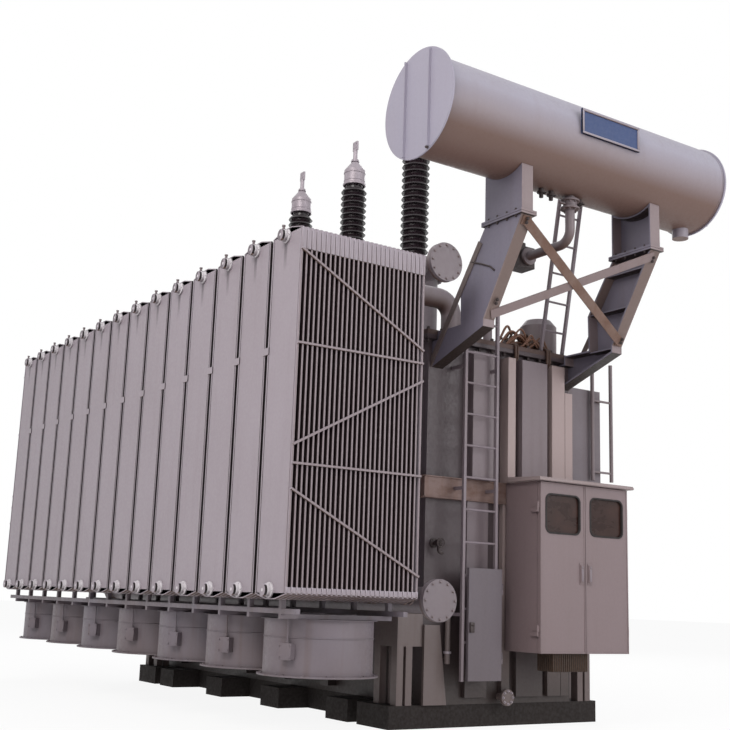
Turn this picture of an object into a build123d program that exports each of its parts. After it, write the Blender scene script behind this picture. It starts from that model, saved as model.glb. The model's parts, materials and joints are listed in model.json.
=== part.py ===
from build123d import *
import math
import os

# An oil-filled power transformer with a bank of finned radiators and fans
# along one side, a conservator on two arms over the near end, three bushings
# on the cover and a control cabinet on the near end wall.
# Millimetres. The origin is on the underside of the base frame, below the
# centre of the tank. +X points to the near end, -Y to the radiators, +Z up.

# Base frame
BASE_HEIGHT = 200
SKID_WIDTH = 380
SKID_PITCH = 1283
SKID_COUNT = 4
SKID_REACH = 350
RUNNER_WIDTH = 300
RUNNER_SPREAD = 750
END_BEAM_WIDTH = 500

# Tank
TANK_LENGTH = 5540
TANK_WIDTH = 1800
TANK_HEIGHT = 3380
FLANGE_THICK = 40
FLANGE_REACH = 70
COVER_THICK = 45
BELT_HEIGHT = 203
BELT_BOTTOM = 2043
BELT_DEPTH = 60
RIB_DEPTH = 120
LOW_RIB_DEPTH = 50
RIB_GAP = 60
SIDE_RIB_WIDTH = 140
SIDE_RIB_DEPTH = 100
SIDE_RIB_COUNT = 6
SIDE_RIB_PITCH = 860
END_RIB_WIDTHS = (255, 95, 330, 170, 100)
END_RIB_CENTRES = (-320, 35, 333, 648, 788)

# Jacking brackets at the four lower corners
JACK_LENGTH = 350
JACK_REACH = 275
JACK_BOTTOM = 707
JACK_HEIGHT = 289
JACK_LEG_WIDTH = 70
JACK_LEG_THICK = 90
BUTTRESS_THICK = 30
BUTTRESS_TOP = 170
BUTTRESS_FOOT = 260
BUTTRESS_HEIGHT = 700

# Radiators
RADIATOR_COUNT = 14
RADIATOR_PITCH = 520
RADIATOR_STANDOFF = 691
FIN_WIDTH = 480
FIN_COUNT = 28
FIN_PITCH = 45
FIN_THICK = 16
FIN_HEIGHT = 2890
FIN_BOTTOM = 1130
SHOULDER_RISE = 40
SHOULDER_FLAT = 140
TOP_BAND = 175
BOTTOM_BAND = 45
HEADER_RADIUS = 47
HEADER_INSET = 60
HEADER_CAP = 70
TIE_HEIGHT = 3069
TIE_WIDTH = 60
TIE_THICK = 8
ROD_RADIUS = 9
ROD_DROPS = ((0, 0), (810, 150), (953, 953), (1149, 1772))

# Manifolds and crossover pipes
MANIFOLD_RADIUS = 110
MANIFOLD_OUTSET = 35
MANIFOLD_STANDOFF = 422
MANIFOLD_LENGTH = 7080
STUB_RADIUS = 42
BLIND_RADIUS = 175
BLIND_THICK = 30
CROSSOVER_RADIUS = 100
CROSSOVER_X = 2560
CROSSOVER_DROP_Y = -480
CROSSOVER_BEND = 170
CROSSOVER_FLANGE = 165

# Fans under the radiators
FAN_COUNT = 7
FAN_RADIUS = 445
FAN_WALL = 8
FAN_BOTTOM = 495
FAN_HEIGHT = 443
FAN_LIP = 45
FAN_LIP_THICK = 12
HUB_RADIUS = 110
HUB_HEIGHT = 170
BLADE_COUNT = 6
BLADE_WIDTH = 150
BLADE_THICK = 8
BLADE_TILT = 35
BLADE_GAP = 14
SPIDER_WIDTH = 50
SPIDER_THICK = 12
FAN_RAIL = 40
FAN_RAIL_SPREAD = 500
FAN_BEAM = 37
FAN_HANGER = 45
FAN_BOX = 105
FAN_BOX_DEPTH = 60

# High-voltage bushings
BUSHING_COUNT = 3
BUSHING_PITCH = 1230
BUSHING_FIRST_X = 1821
BUSHING_Y = -422
TURRET_RADIUS = 260
TURRET_HEIGHT = 840
TURRET_FLANGE = 310
TURRET_FLANGE_THICK = 40
PORCELAIN_FOOT_RADIUS = 190
PORCELAIN_FOOT = 95
SHED_RADIUS = 150
SHED_CORE = 112
SHED_PITCH = 73
SHED_COUNT = 17
SHED_RISE = 22
NECK_RADIUS = 90
NECK_HEIGHT = 40
CAP_RADIUS = 122
CAP_HEIGHT = 190
CAP_CONE = 105
STUD_RADIUS = 26
STUD_HEIGHT = 260
PALM_WIDTH = 90
PALM_THICK = 22
PALM_HEIGHT = 110
PALM_HOLE = 7
PALM_HOLE_SPACING = 50

# Conservator
BARREL_RADIUS = 437
BARREL_LENGTH = 3442
BARREL_X = 3800
BARREL_Z = 5299
BARREL_NEAR_Y = -1826
DISC_RADIUS = 495
DISC_THICK = 14
FAR_DISC_RADIUS = 452
DISC_RIB_SPREAD = 175
DISC_RIB_WIDTH = 12
DISC_RIB_DEPTH = 30
SUMP_RADIUS = 80
SUMP_DROP = 90
SUMP_Y = 1540
SEAT_GAP = 0.3

# Name panel, left blank
PANEL_LENGTH = 731
PANEL_HEIGHT = 240
PANEL_THICK = 12
PANEL_Y = 20
PANEL_Z = 5393
PANEL_FRAME = 20
PANEL_FRAME_DEPTH = 22
PANEL_CLEARANCE = 8

# Arms that carry the conservator
ARM_THICK = 130
ARM_LEFT_Y = -862
ARM_RIGHT_Y = 763
FOOT_DEPTH = 250
FOOT_TIP_X = 3522
FOOT_TIP_DEPTH = 70
FOOT_TOP = 3610
FOOT_CLEARANCE = 12
LEG_BACK = (3201, 3193, 3433, 3534)
LEG_FRONT = (3522, 3701, 3820, 4035)
LEG_BACK_RISE = (350, 705)
LEG_FRONT_RISE = (430, 659)
LEG_HEIGHT = 850
JOINT_PLATE = 22
JOINT_LIP = 25
SADDLE_SWEEP = 130
BRACE_WIDTH = 85
BRACE_THICK = 12
STAY_WIDTH = 60
STAY_THICK = 12
STAY_FOOT_Z = 3330
STAY_TOP_X = 3480
STAY_TOP_Z = 4330

# Pipe from the conservator to the cover, with the gas relay
OIL_PIPE_RADIUS = 45
OIL_PIPE_Y = -60
OIL_PIPE_Z = 4420
OIL_PIPE_DROP_X = 2620
OIL_PIPE_BEND = 130
RELAY_X = 3110
RELAY_LENGTH = 230
RELAY_WIDTH = 200
RELAY_HEIGHT = 210
RELAY_FLANGE = 85
RELAY_FLANGE_THICK = 20

# Fittings on the cover
DOME_RADIUS = 190
DOME_HEIGHT = 420
DOME_X = 2540
DOME_Y = 690
DOME_FLANGE = 25
MANHOLE_RADIUS = 250
MANHOLE_HEIGHT = 60
MANHOLE_Y = 420
MANHOLE_SPREAD = 1500

# Ladder from the cover to the conservator
COVER_LADDER_Y = 490
COVER_LADDER_WIDTH = 290
COVER_LADDER_X = 2800
COVER_LADDER_TOP_X = 3110
COVER_LADDER_TOP_Z = 5299
COVER_LADDER_RUNGS = 5

# Ladder on the near end wall and its guard door
LADDER_X = 2970
LADDER_LEFT_Y = -609
LADDER_RIGHT_Y = -225
LADDER_FOOT = 416
LADDER_TOP = 3870
LADDER_RAIL = 30
RUNG_PITCH = 298
RUNG_RADIUS = 11
RUNG_FIRST = 756
RUNG_COUNT = 11
LADDER_TIE_HEIGHTS = (1000, 2145, 3300)
GUARD_LEFT_Y = -576
GUARD_RIGHT_Y = -185
GUARD_BOTTOM = 421
GUARD_TOP = 1419
GUARD_THICK = 30
GUARD_STANDOFF = 7
LATCH_SIZE = 60

# Control cabinet
CABINET_BACK = 67
CABINET_DEPTH = 483
CABINET_LEFT_Y = 15
CABINET_WIDTH = 1133
CABINET_BOTTOM = 679
CABINET_HEIGHT = 1563
CABINET_WALL = 12
ROOF_THICK = 55
ROOF_REACH = 45
ROOF_GAP = 5
DOOR_THICK = 40
DOOR_CLEARANCE = 6
WINDOW_WIDTH = 430
WINDOW_HEIGHT = 360
WINDOW_RADIUS = 60
WINDOW_TOP = 115
WINDOW_THICK = 8
HANDLE_WIDTH = 36
HANDLE_HEIGHT = 160
HANDLE_DEPTH = 18
HANDLE_INSET = 32
HANDLE_Z = 1407
BRACKET_HEIGHTS = (900, 1950)
BRACKET_SIZE = 100

# Lift-off hinges of the doors
HINGE_OFFSET = 14
PIN_RADIUS = 6
PIN_CLEARANCE = 0.3
KNUCKLE_RADIUS = 9
KNUCKLE_HEIGHT = 60
LUG_HEIGHT = 40
LUG_LENGTH = 60
HINGE_MARGIN = 190

# Cable duct below the cabinet, cable box and breather pipes on the far side
DUCT_WIDTH = 420
DUCT_DEPTH = 200
DUCT_DROP = 165
DUCT_Y = 210
DUCT_X = 3080
CABLE_BOX_LENGTH = 1000
CABLE_BOX_DEPTH = 520
CABLE_BOX_BOTTOM = 1300
CABLE_BOX_HEIGHT = 2040
CABLE_BOX_END_X = 2700
BREATHER_RADIUS = 20
BREATHER_Y = (1270, 1540)
BREATHER_FOOT = 2390
BREATHER_TOP = 3640
BREATHER_STANDOFF = 20

# Small valves on the near end wall
DRAIN_Y = 0
DRAIN_Z = 262
DRAIN_RADIUS = 35
DRAIN_FLANGE = 75
DRAIN_LENGTH = 130
WALL_PIPE_Y = -655
WALL_PIPE_RADIUS = 25
WALL_PIPE_BOTTOM = 560
WALL_PIPE_TOP = 1240

# Planes that several pieces share
NEAR_WALL = TANK_LENGTH / 2
SIDE_WALL = TANK_WIDTH / 2
TANK_TOP = BASE_HEIGHT + TANK_HEIGHT
COVER_TOP = TANK_TOP + COVER_THICK
COVER_X = NEAR_WALL + FLANGE_REACH
COVER_Y = SIDE_WALL + FLANGE_REACH
BANK_DEPTH = (FIN_COUNT - 1) * FIN_PITCH + FIN_THICK
BANK_INNER_Y = -(SIDE_WALL + RADIATOR_STANDOFF)
BANK_OUTER_Y = BANK_INNER_Y - BANK_DEPTH
BANK_TOP = FIN_BOTTOM + FIN_HEIGHT + SHOULDER_RISE
BANK_BOTTOM = FIN_BOTTOM - SHOULDER_RISE
FIRST_RADIATOR_X = (RADIATOR_COUNT - 1) * RADIATOR_PITCH / 2
BANK_END_X = FIRST_RADIATOR_X + FIN_WIDTH / 2
HEADER_HIGH = BANK_TOP - HEADER_INSET
HEADER_LOW = BANK_BOTTOM + HEADER_INSET
MANIFOLD_Y = -(SIDE_WALL + MANIFOLD_STANDOFF)
MANIFOLD_HIGH = HEADER_HIGH + MANIFOLD_OUTSET
MANIFOLD_LOW = HEADER_LOW - MANIFOLD_OUTSET
FAN_TOP = FAN_BOTTOM + FAN_HEIGHT
FAN_Y = (BANK_INNER_Y + BANK_OUTER_Y) / 2
FAN_PITCH = RADIATOR_PITCH * RADIATOR_COUNT / FAN_COUNT
FIRST_FAN_X = (FAN_COUNT - 1) * FAN_PITCH / 2
TURRET_TOP = COVER_TOP + TURRET_HEIGHT
PORCELAIN_TOP = TURRET_TOP + PORCELAIN_FOOT + SHED_COUNT * SHED_PITCH + NECK_HEIGHT
CAP_TOP = PORCELAIN_TOP + CAP_HEIGHT + CAP_CONE
BARREL_FAR_Y = BARREL_NEAR_Y + BARREL_LENGTH
LEG_TOP = FOOT_TOP + LEG_HEIGHT
FOOT_ROOT_TOP = TANK_TOP - FLANGE_THICK - FOOT_CLEARANCE
CABINET_BACK_X = NEAR_WALL + CABINET_BACK
CABINET_FRONT_X = CABINET_BACK_X + CABINET_DEPTH
CABINET_RIGHT_Y = CABINET_LEFT_Y + CABINET_WIDTH
CABINET_MID_Y = CABINET_LEFT_Y + CABINET_WIDTH / 2
CABINET_TOP = CABINET_BOTTOM + CABINET_HEIGHT
DOOR_BACK_X = CABINET_FRONT_X - DOOR_THICK
BODY_FRONT_X = DOOR_BACK_X - DOOR_CLEARANCE
GUARD_BACK_X = LADDER_X + LADDER_RAIL / 2 + GUARD_STANDOFF
DUCT_TOP = CABINET_BOTTOM


def block(x_low, x_high, y_low, y_high, z_low, z_high):
    """A rectangular block between six planes."""
    size = Box(x_high - x_low, y_high - y_low, z_high - z_low)
    return Pos((x_low + x_high) / 2, (y_low + y_high) / 2, (z_low + z_high) / 2) * size


def rod(start, end, radius):
    """A round bar from one point to another."""
    along = Vector(end) - Vector(start)
    section = Plane(origin=start, z_dir=along) * Circle(radius)
    return extrude(section, along.length)


def flat_bar(start, end, width, thick, facing):
    """A flat bar from one point to another, its broad side facing the given way."""
    along = Vector(end) - Vector(start)
    middle = (Vector(start) + Vector(end)) / 2
    return Plane(origin=middle, x_dir=along, z_dir=facing) * Box(along.length, width, thick)


def side_plate(points, y_low, y_high):
    """A plate parallel to the XZ plane, from its outline."""
    face = Plane(origin=(0, y_high, 0), x_dir=(1, 0, 0), z_dir=(0, -1, 0)) * make_face(Polyline(*points, close=True))
    return extrude(face, y_high - y_low)


def end_plate(points, x_low, x_high):
    """A plate parallel to the YZ plane, from its outline."""
    face = Plane(origin=(x_low, 0, 0), x_dir=(0, 1, 0), z_dir=(1, 0, 0)) * make_face(Polyline(*points, close=True))
    return extrude(face, x_high - x_low)


def upright(x, y, z_low, z_high, radius):
    """An upright round bar."""
    return rod((x, y, z_low), (x, y, z_high), radius)


def barrel_cutter():
    """The space of the conservator's barrel, with its seating gap."""
    start = (BARREL_X, BARREL_NEAR_Y, BARREL_Z)
    return rod(start, (BARREL_X, BARREL_FAR_Y, BARREL_Z), BARREL_RADIUS + SEAT_GAP)


def save(shape, node):
    """Write one sub-part."""
    export_step(shape, f"parts/{node}.step")


# Base and tank


def base_frame():
    """Welded skid frame: runners along the tank, skids across it and end beams."""
    reach = SIDE_WALL + SKID_REACH
    pieces = []
    for y in (-RUNNER_SPREAD, 0, RUNNER_SPREAD):
        half = RUNNER_WIDTH / 2
        pieces.append(block(-NEAR_WALL, NEAR_WALL, y - half, y + half, 0, BASE_HEIGHT))
    for i in range(SKID_COUNT):
        x = (i - (SKID_COUNT - 1) / 2) * SKID_PITCH
        pieces.append(block(x - SKID_WIDTH / 2, x + SKID_WIDTH / 2, -reach, reach, 0, BASE_HEIGHT))
    for end in (-1, 1):
        inner = end * (NEAR_WALL - END_BEAM_WIDTH)
        outer = end * NEAR_WALL
        pieces.append(block(min(inner, outer), max(inner, outer), -reach, reach, 0, BASE_HEIGHT))
    return pieces[0] + pieces[1:]


def tank_body():
    """The tank with its top flange."""
    shell = block(-NEAR_WALL, NEAR_WALL, -SIDE_WALL, SIDE_WALL, BASE_HEIGHT, TANK_TOP)
    flange = block(-COVER_X, COVER_X, -COVER_Y, COVER_Y, TANK_TOP - FLANGE_THICK, TANK_TOP)
    return shell + flange


def tank_cover():
    """The cover plate on the tank's flange."""
    return block(-COVER_X, COVER_X, -COVER_Y, COVER_Y, TANK_TOP, COVER_TOP)


def tank_belt():
    """The girth band round the tank."""
    x, y = NEAR_WALL + BELT_DEPTH, SIDE_WALL + BELT_DEPTH
    outer = block(-x, x, -y, y, BELT_BOTTOM, BELT_BOTTOM + BELT_HEIGHT)
    return outer - block(-NEAR_WALL, NEAR_WALL, -SIDE_WALL, SIDE_WALL, 0, TANK_TOP)


def tank_ribs():
    """Box stiffeners on all four walls, above and below the girth band."""
    low = (BASE_HEIGHT + RIB_GAP, BELT_BOTTOM)
    high = (BELT_BOTTOM + BELT_HEIGHT, TANK_TOP - FLANGE_THICK - RIB_GAP)
    under_foot = FOOT_ROOT_TOP - FOOT_DEPTH - RIB_GAP
    ribs = []
    for end in (-1, 1):
        for centre, width in zip(END_RIB_CENTRES, END_RIB_WIDTHS):
            y_low, y_high = centre - width / 2, centre + width / 2
            covered = any(y_low < y + ARM_THICK and y_high > y for y in (ARM_LEFT_Y, ARM_RIGHT_Y))
            upper = (high[0], under_foot) if covered and end > 0 else high
            for (z_low, z_high), depth in ((low, LOW_RIB_DEPTH), (upper, RIB_DEPTH)):
                inner, outer = end * NEAR_WALL, end * (NEAR_WALL + depth)
                ribs.append(block(min(inner, outer), max(inner, outer), y_low, y_high, z_low, z_high))
    for side in (-1, 1):
        for i in range(SIDE_RIB_COUNT):
            x = (i - (SIDE_RIB_COUNT - 1) / 2) * SIDE_RIB_PITCH
            inner, outer = side * SIDE_WALL, side * (SIDE_WALL + SIDE_RIB_DEPTH)
            y_low, y_high = min(inner, outer), max(inner, outer)
            for z_low, z_high in (low, high):
                ribs.append(block(x - SIDE_RIB_WIDTH / 2, x + SIDE_RIB_WIDTH / 2, y_low, y_high, z_low, z_high))
    return ribs


def jacking_brackets():
    """A jacking box on two legs at each lower corner of the tank."""
    brackets = []
    top = JACK_BOTTOM + JACK_HEIGHT
    outer = SIDE_WALL + JACK_REACH
    for end in (-1, 1):
        for side in (-1, 1):
            corner = block(NEAR_WALL - JACK_LENGTH, NEAR_WALL, SIDE_WALL, outer, JACK_BOTTOM, top)
            for x in (NEAR_WALL - JACK_LENGTH, NEAR_WALL - JACK_LEG_THICK):
                for y in (outer - JACK_LEG_WIDTH, outer - 2.4 * JACK_LEG_WIDTH):
                    corner += block(x, x + JACK_LEG_THICK, y, y + JACK_LEG_WIDTH, BASE_HEIGHT, JACK_BOTTOM)
            brackets.append(mirrored(corner, end, side))
    return brackets


def mirrored(shape, end, side):
    """The shape made for the near +Y corner, moved to another corner."""
    if end < 0:
        shape = mirror(shape, Plane.YZ)
    if side < 0:
        shape = mirror(shape, Plane.XZ)
    return shape


def corner_buttresses():
    """Tapered plates at the foot of both end walls."""
    plates = []
    edge = SIDE_WALL
    points = [
        (edge, BASE_HEIGHT),
        (edge, BASE_HEIGHT + BUTTRESS_HEIGHT),
        (edge - BUTTRESS_TOP, BASE_HEIGHT + BUTTRESS_HEIGHT),
        (edge - BUTTRESS_FOOT, BASE_HEIGHT),
    ]
    plate = end_plate(points, NEAR_WALL, NEAR_WALL + BUTTRESS_THICK)
    for end in (-1, 1):
        plates.append(mirrored(plate, end, -1))
    return plates


# Radiators and their pipes


def radiator():
    """One radiator about X = 0: upright fins between a top and a bottom band."""
    half = FIN_WIDTH / 2
    slot_low = FIN_BOTTOM + BOTTOM_BAND
    slot_high = FIN_BOTTOM + FIN_HEIGHT - TOP_BAND
    side = block(-half, half, BANK_OUTER_Y, BANK_INNER_Y, FIN_BOTTOM, FIN_BOTTOM + FIN_HEIGHT)
    slots = []
    for i in range(FIN_COUNT - 1):
        y = BANK_OUTER_Y + FIN_THICK + i * FIN_PITCH
        slots.append(block(-half, half, y, y + FIN_PITCH - FIN_THICK, slot_low, slot_high))
    body = side - slots
    flat = SHOULDER_FLAT / 2
    for edge, peak in ((FIN_BOTTOM + FIN_HEIGHT, BANK_TOP), (FIN_BOTTOM, BANK_BOTTOM)):
        outline = [(-half, edge), (-flat, peak), (flat, peak), (half, edge)]
        body += side_plate(outline, BANK_OUTER_Y, BANK_INNER_Y)
    for z in (HEADER_HIGH, HEADER_LOW):
        body += rod((0, BANK_OUTER_Y, z), (0, BANK_OUTER_Y - HEADER_CAP, z), HEADER_RADIUS)
    return body


def radiator_places():
    """The X of each radiator, from the near end."""
    return [FIRST_RADIATOR_X - i * RADIATOR_PITCH for i in range(RADIATOR_COUNT)]


def radiator_ties():
    """Small straps across the gaps between neighbouring outer fins."""
    straps = []
    for x in radiator_places()[:-1]:
        middle = x - RADIATOR_PITCH / 2
        reach = (RADIATOR_PITCH - FIN_WIDTH) / 2 + TIE_WIDTH / 2
        y_low = BANK_OUTER_Y - TIE_THICK
        z_low, z_high = TIE_HEIGHT - TIE_WIDTH / 2, TIE_HEIGHT + TIE_WIDTH / 2
        straps.append(block(middle - reach, middle + reach, y_low, BANK_OUTER_Y, z_low, z_high))
    return straps


def end_rods():
    """Flat straps and diagonals across the fins at both ends of the bank."""
    fin_top = FIN_BOTTOM + FIN_HEIGHT
    heights = [(fin_top - TOP_BAND, TIE_HEIGHT + 6 * ROD_RADIUS * 2)]
    heights += [(TIE_HEIGHT - outer, TIE_HEIGHT - inner) for outer, inner in ROD_DROPS]
    rods = []
    for end in (-1, 1):
        x = end * (BANK_END_X + ROD_RADIUS)
        for z_outer, z_inner in heights:
            start = (x, BANK_OUTER_Y, z_outer)
            stop = (x, BANK_INNER_Y, z_inner)
            rods.append(flat_bar(start, stop, 2 * ROD_RADIUS, 2 * ROD_RADIUS, (1, 0, 0)))
    return rods


def manifold(z):
    """A manifold along the bank with a stub to each radiator and blind flanges."""
    x = MANIFOLD_LENGTH / 2
    body = rod((-x, MANIFOLD_Y, z), (x, MANIFOLD_Y, z), MANIFOLD_RADIUS)
    header = HEADER_HIGH if z > TANK_HEIGHT / 2 else HEADER_LOW
    stubs = []
    for place in radiator_places():
        stubs.append(rod((place, BANK_INNER_Y, header), (place, MANIFOLD_Y, header), STUB_RADIUS))
    body += stubs
    for end in (-1, 1):
        start = (end * x, MANIFOLD_Y, z)
        body += rod(start, (end * (x + BLIND_THICK), MANIFOLD_Y, z), BLIND_RADIUS)
    return body


def top_crossover():
    """The pipe from the top manifold over the cover and down into it."""
    start = MANIFOLD_Y
    path = FilletPolyline(
        (CROSSOVER_X, start, MANIFOLD_HIGH),
        (CROSSOVER_X, CROSSOVER_DROP_Y, MANIFOLD_HIGH),
        (CROSSOVER_X, CROSSOVER_DROP_Y, COVER_TOP),
        radius=CROSSOVER_BEND,
    )
    section = Plane(origin=path @ 0, z_dir=path % 0) * Circle(CROSSOVER_RADIUS)
    pipe = sweep(section, path=path)
    flange = upright(CROSSOVER_X, CROSSOVER_DROP_Y, COVER_TOP, COVER_TOP + BLIND_THICK, CROSSOVER_FLANGE)
    header = rod((0, MANIFOLD_Y, MANIFOLD_HIGH), (BANK_END_X, MANIFOLD_Y, MANIFOLD_HIGH), MANIFOLD_RADIUS + SEAT_GAP)
    return pipe + flange - header


def low_crossovers():
    """Two pipes from the bottom manifold to the tank's side wall."""
    pipes = []
    reach = BANK_END_X
    header = rod((-reach, MANIFOLD_Y, MANIFOLD_LOW), (reach, MANIFOLD_Y, MANIFOLD_LOW), MANIFOLD_RADIUS + SEAT_GAP)
    for x in (-SIDE_RIB_PITCH, SIDE_RIB_PITCH):
        pipe = rod((x, MANIFOLD_Y, MANIFOLD_LOW), (x, -SIDE_WALL, MANIFOLD_LOW), CROSSOVER_RADIUS)
        flange = rod((x, -SIDE_WALL - BLIND_THICK, MANIFOLD_LOW), (x, -SIDE_WALL, MANIFOLD_LOW), CROSSOVER_FLANGE)
        pipes.append(pipe + flange - header)
    return pipes


# Fans


def fan_places():
    """The X of each fan, from the near end."""
    return [FIRST_FAN_X - i * FAN_PITCH for i in range(FAN_COUNT)]


def fan_shroud():
    """One round shroud about X = 0 with a flared lip and the arms of its motor."""
    inner = FAN_RADIUS - FAN_WALL
    lip = FAN_RADIUS + FAN_LIP
    profile = [
        (inner, FAN_BOTTOM),
        (lip, FAN_BOTTOM),
        (lip, FAN_BOTTOM + FAN_LIP_THICK),
        (FAN_RADIUS, FAN_BOTTOM + FAN_LIP_THICK),
        (FAN_RADIUS, FAN_TOP),
        (inner, FAN_TOP),
    ]
    ring = revolve(Plane.XZ * make_face(Polyline(*profile, close=True)), Axis.Z)
    z = FAN_TOP - SPIDER_WIDTH
    for turn in (0, 90):
        ring += Rot(0, 0, turn) * block(-inner, inner, -SPIDER_THICK / 2, SPIDER_THICK / 2, z, FAN_TOP)
    return Pos(0, FAN_Y, 0) * ring


def fan_impeller():
    """One impeller with its motor about X = 0, below the arms of the shroud."""
    top = FAN_TOP - SPIDER_WIDTH
    bottom = top - HUB_HEIGHT
    body = upright(0, 0, bottom, top, HUB_RADIUS)
    tip = FAN_RADIUS - FAN_WALL - BLADE_GAP
    root = HUB_RADIUS - BLADE_THICK
    z = (top + bottom) / 2
    for i in range(BLADE_COUNT):
        blade = Rot(BLADE_TILT, 0, 0) * Box(tip - root, BLADE_WIDTH, BLADE_THICK)
        body += Rot(0, 0, i * 360 / BLADE_COUNT) * Pos((tip + root) / 2, 0, z) * blade
    return Pos(0, FAN_Y, 0) * body


def fan_frame():
    """Rails and cross beams on the shrouds, hung from the radiators."""
    x = BANK_END_X
    half = FAN_RAIL / 2
    beam_top = FAN_TOP + FAN_BEAM
    rail_top = beam_top + FAN_RAIL
    bars = []
    for side in (-1, 1):
        y = FAN_Y + side * FAN_RAIL_SPREAD
        bars.append(block(-x, x, y - half, y + half, beam_top, rail_top))
    for place in radiator_places():
        low_y, high_y = FAN_Y - FAN_RAIL_SPREAD - half, FAN_Y + FAN_RAIL_SPREAD + half
        bars.append(block(place - half, place + half, low_y, high_y, FAN_TOP, beam_top))
        for side in (-1, 1):
            y = FAN_Y + side * FAN_RAIL_SPREAD
            post = FAN_HANGER / 2
            bars.append(block(place - post, place + post, y - half, y + half, rail_top, BANK_BOTTOM))
    return bars[0] + bars[1:]


def fan_boxes():
    """A terminal box on the outer side of each shroud."""
    boxes = []
    turn = math.radians(-62)
    for place in fan_places():
        box = Pos(FAN_RADIUS, 0, FAN_BOTTOM + FAN_HEIGHT * 0.44) * Box(2 * FAN_BOX_DEPTH, FAN_BOX, FAN_BOX * 1.15)
        drum = upright(0, 0, 0, FAN_TOP, FAN_RADIUS + SEAT_GAP)
        boxes.append(Pos(place, FAN_Y, 0) * (Rot(0, 0, math.degrees(turn)) * (box - drum)))
    return boxes


# Bushings


def bushing_turret(x):
    """The turret that carries a bushing over the cover."""
    body = upright(x, BUSHING_Y, COVER_TOP, TURRET_TOP, TURRET_RADIUS)
    body += upright(x, BUSHING_Y, TURRET_TOP - TURRET_FLANGE_THICK, TURRET_TOP, TURRET_FLANGE)
    return body


def bushing_porcelain(x):
    """The insulator: a foot flange, a column of sheds and a neck."""
    foot = TURRET_TOP + PORCELAIN_FOOT
    profile = [(0, TURRET_TOP), (PORCELAIN_FOOT_RADIUS, TURRET_TOP)]
    profile += [(PORCELAIN_FOOT_RADIUS, foot - PORCELAIN_FOOT / 2), (SHED_CORE, foot)]
    for i in range(SHED_COUNT):
        z = foot + i * SHED_PITCH
        profile.append((SHED_RADIUS, z + SHED_PITCH / 2 - SHED_RISE / 2))
        profile.append((SHED_CORE, z + SHED_PITCH))
    profile += [(NECK_RADIUS, PORCELAIN_TOP - NECK_HEIGHT), (NECK_RADIUS, PORCELAIN_TOP), (0, PORCELAIN_TOP)]
    face = Plane.XZ * make_face(Polyline(*profile, close=True))
    return Pos(x, BUSHING_Y, 0) * revolve(face, Axis.Z)


def bushing_cap(x):
    """The metal head with its terminal palm."""
    shoulder = PORCELAIN_TOP + CAP_HEIGHT
    palm_low = CAP_TOP + STUD_HEIGHT - PALM_HEIGHT
    profile = [(0, PORCELAIN_TOP), (CAP_RADIUS, PORCELAIN_TOP), (CAP_RADIUS, shoulder)]
    profile += [(STUD_RADIUS * 1.6, CAP_TOP), (STUD_RADIUS, CAP_TOP), (STUD_RADIUS, palm_low), (0, palm_low)]
    head = revolve(Plane.XZ * make_face(Polyline(*profile, close=True)), Axis.Z)
    palm_top = palm_low + PALM_HEIGHT
    half = PALM_WIDTH / 2
    palm = block(-half, half, -PALM_THICK / 2, PALM_THICK / 2, palm_low, palm_top)
    middle = palm_low + PALM_HEIGHT / 2
    for dx in (-PALM_HOLE_SPACING / 2, PALM_HOLE_SPACING / 2):
        for dz in (-PALM_HOLE_SPACING / 2, PALM_HOLE_SPACING / 2):
            palm -= rod((dx, -PALM_THICK, middle + dz), (dx, PALM_THICK, middle + dz), PALM_HOLE)
    return Pos(x, BUSHING_Y, 0) * (head + palm)


# Conservator


def conservator_barrel():
    """The conservator's barrel with its sump."""
    barrel = rod((BARREL_X, BARREL_NEAR_Y, BARREL_Z), (BARREL_X, BARREL_FAR_Y, BARREL_Z), BARREL_RADIUS)
    low = BARREL_Z - BARREL_RADIUS - SUMP_DROP
    sump = upright(BARREL_X, SUMP_Y - SUMP_RADIUS, low, BARREL_Z, SUMP_RADIUS)
    return barrel + sump


def conservator_end(y, direction, radius):
    """A bolted end disc with two upright ribs."""
    outer = y + direction * DISC_THICK
    rib = y + direction * (DISC_THICK + DISC_RIB_DEPTH)
    disc = rod((BARREL_X, y, BARREL_Z), (BARREL_X, outer, BARREL_Z), radius)
    for x in (BARREL_X - DISC_RIB_SPREAD, BARREL_X + DISC_RIB_SPREAD):
        reach = math.sqrt(radius**2 - (DISC_RIB_SPREAD + DISC_RIB_WIDTH) ** 2) - DISC_RIB_WIDTH
        y_low, y_high = min(outer, rib), max(outer, rib)
        half = DISC_RIB_WIDTH / 2
        disc += block(x - half, x + half, y_low, y_high, BARREL_Z - reach, BARREL_Z + reach)
    return disc


def name_panel():
    """A blank panel in a frame, on two bearers against the barrel."""
    back = BARREL_X + BARREL_RADIUS + PANEL_CLEARANCE
    face = back + PANEL_THICK
    y_low, y_high = PANEL_Y - PANEL_LENGTH / 2, PANEL_Y + PANEL_LENGTH / 2
    z_low, z_high = PANEL_Z - PANEL_HEIGHT / 2, PANEL_Z + PANEL_HEIGHT / 2
    panel = block(back, back + PANEL_FRAME_DEPTH, y_low, y_high, z_low, z_high)
    inset = PANEL_FRAME
    panel -= block(face, face + PANEL_FRAME_DEPTH, y_low + inset, y_high - inset, z_low + inset, z_high - inset)
    bearers = []
    for y in (PANEL_Y - PANEL_LENGTH / 4, PANEL_Y + PANEL_LENGTH / 4):
        bearers.append(block(BARREL_X, back, y - PANEL_FRAME, y + PANEL_FRAME, z_low + inset, z_high - inset))
    return panel + bearers - barrel_cutter()


# Arms under the conservator


def brace_line(rise):
    """A point on the line along which the cross braces lie, at a height over the foot."""
    slope = (LEG_FRONT[3] - LEG_FRONT[0]) / LEG_HEIGHT
    return LEG_FRONT[0] + slope * rise, FOOT_TOP + rise


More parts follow.
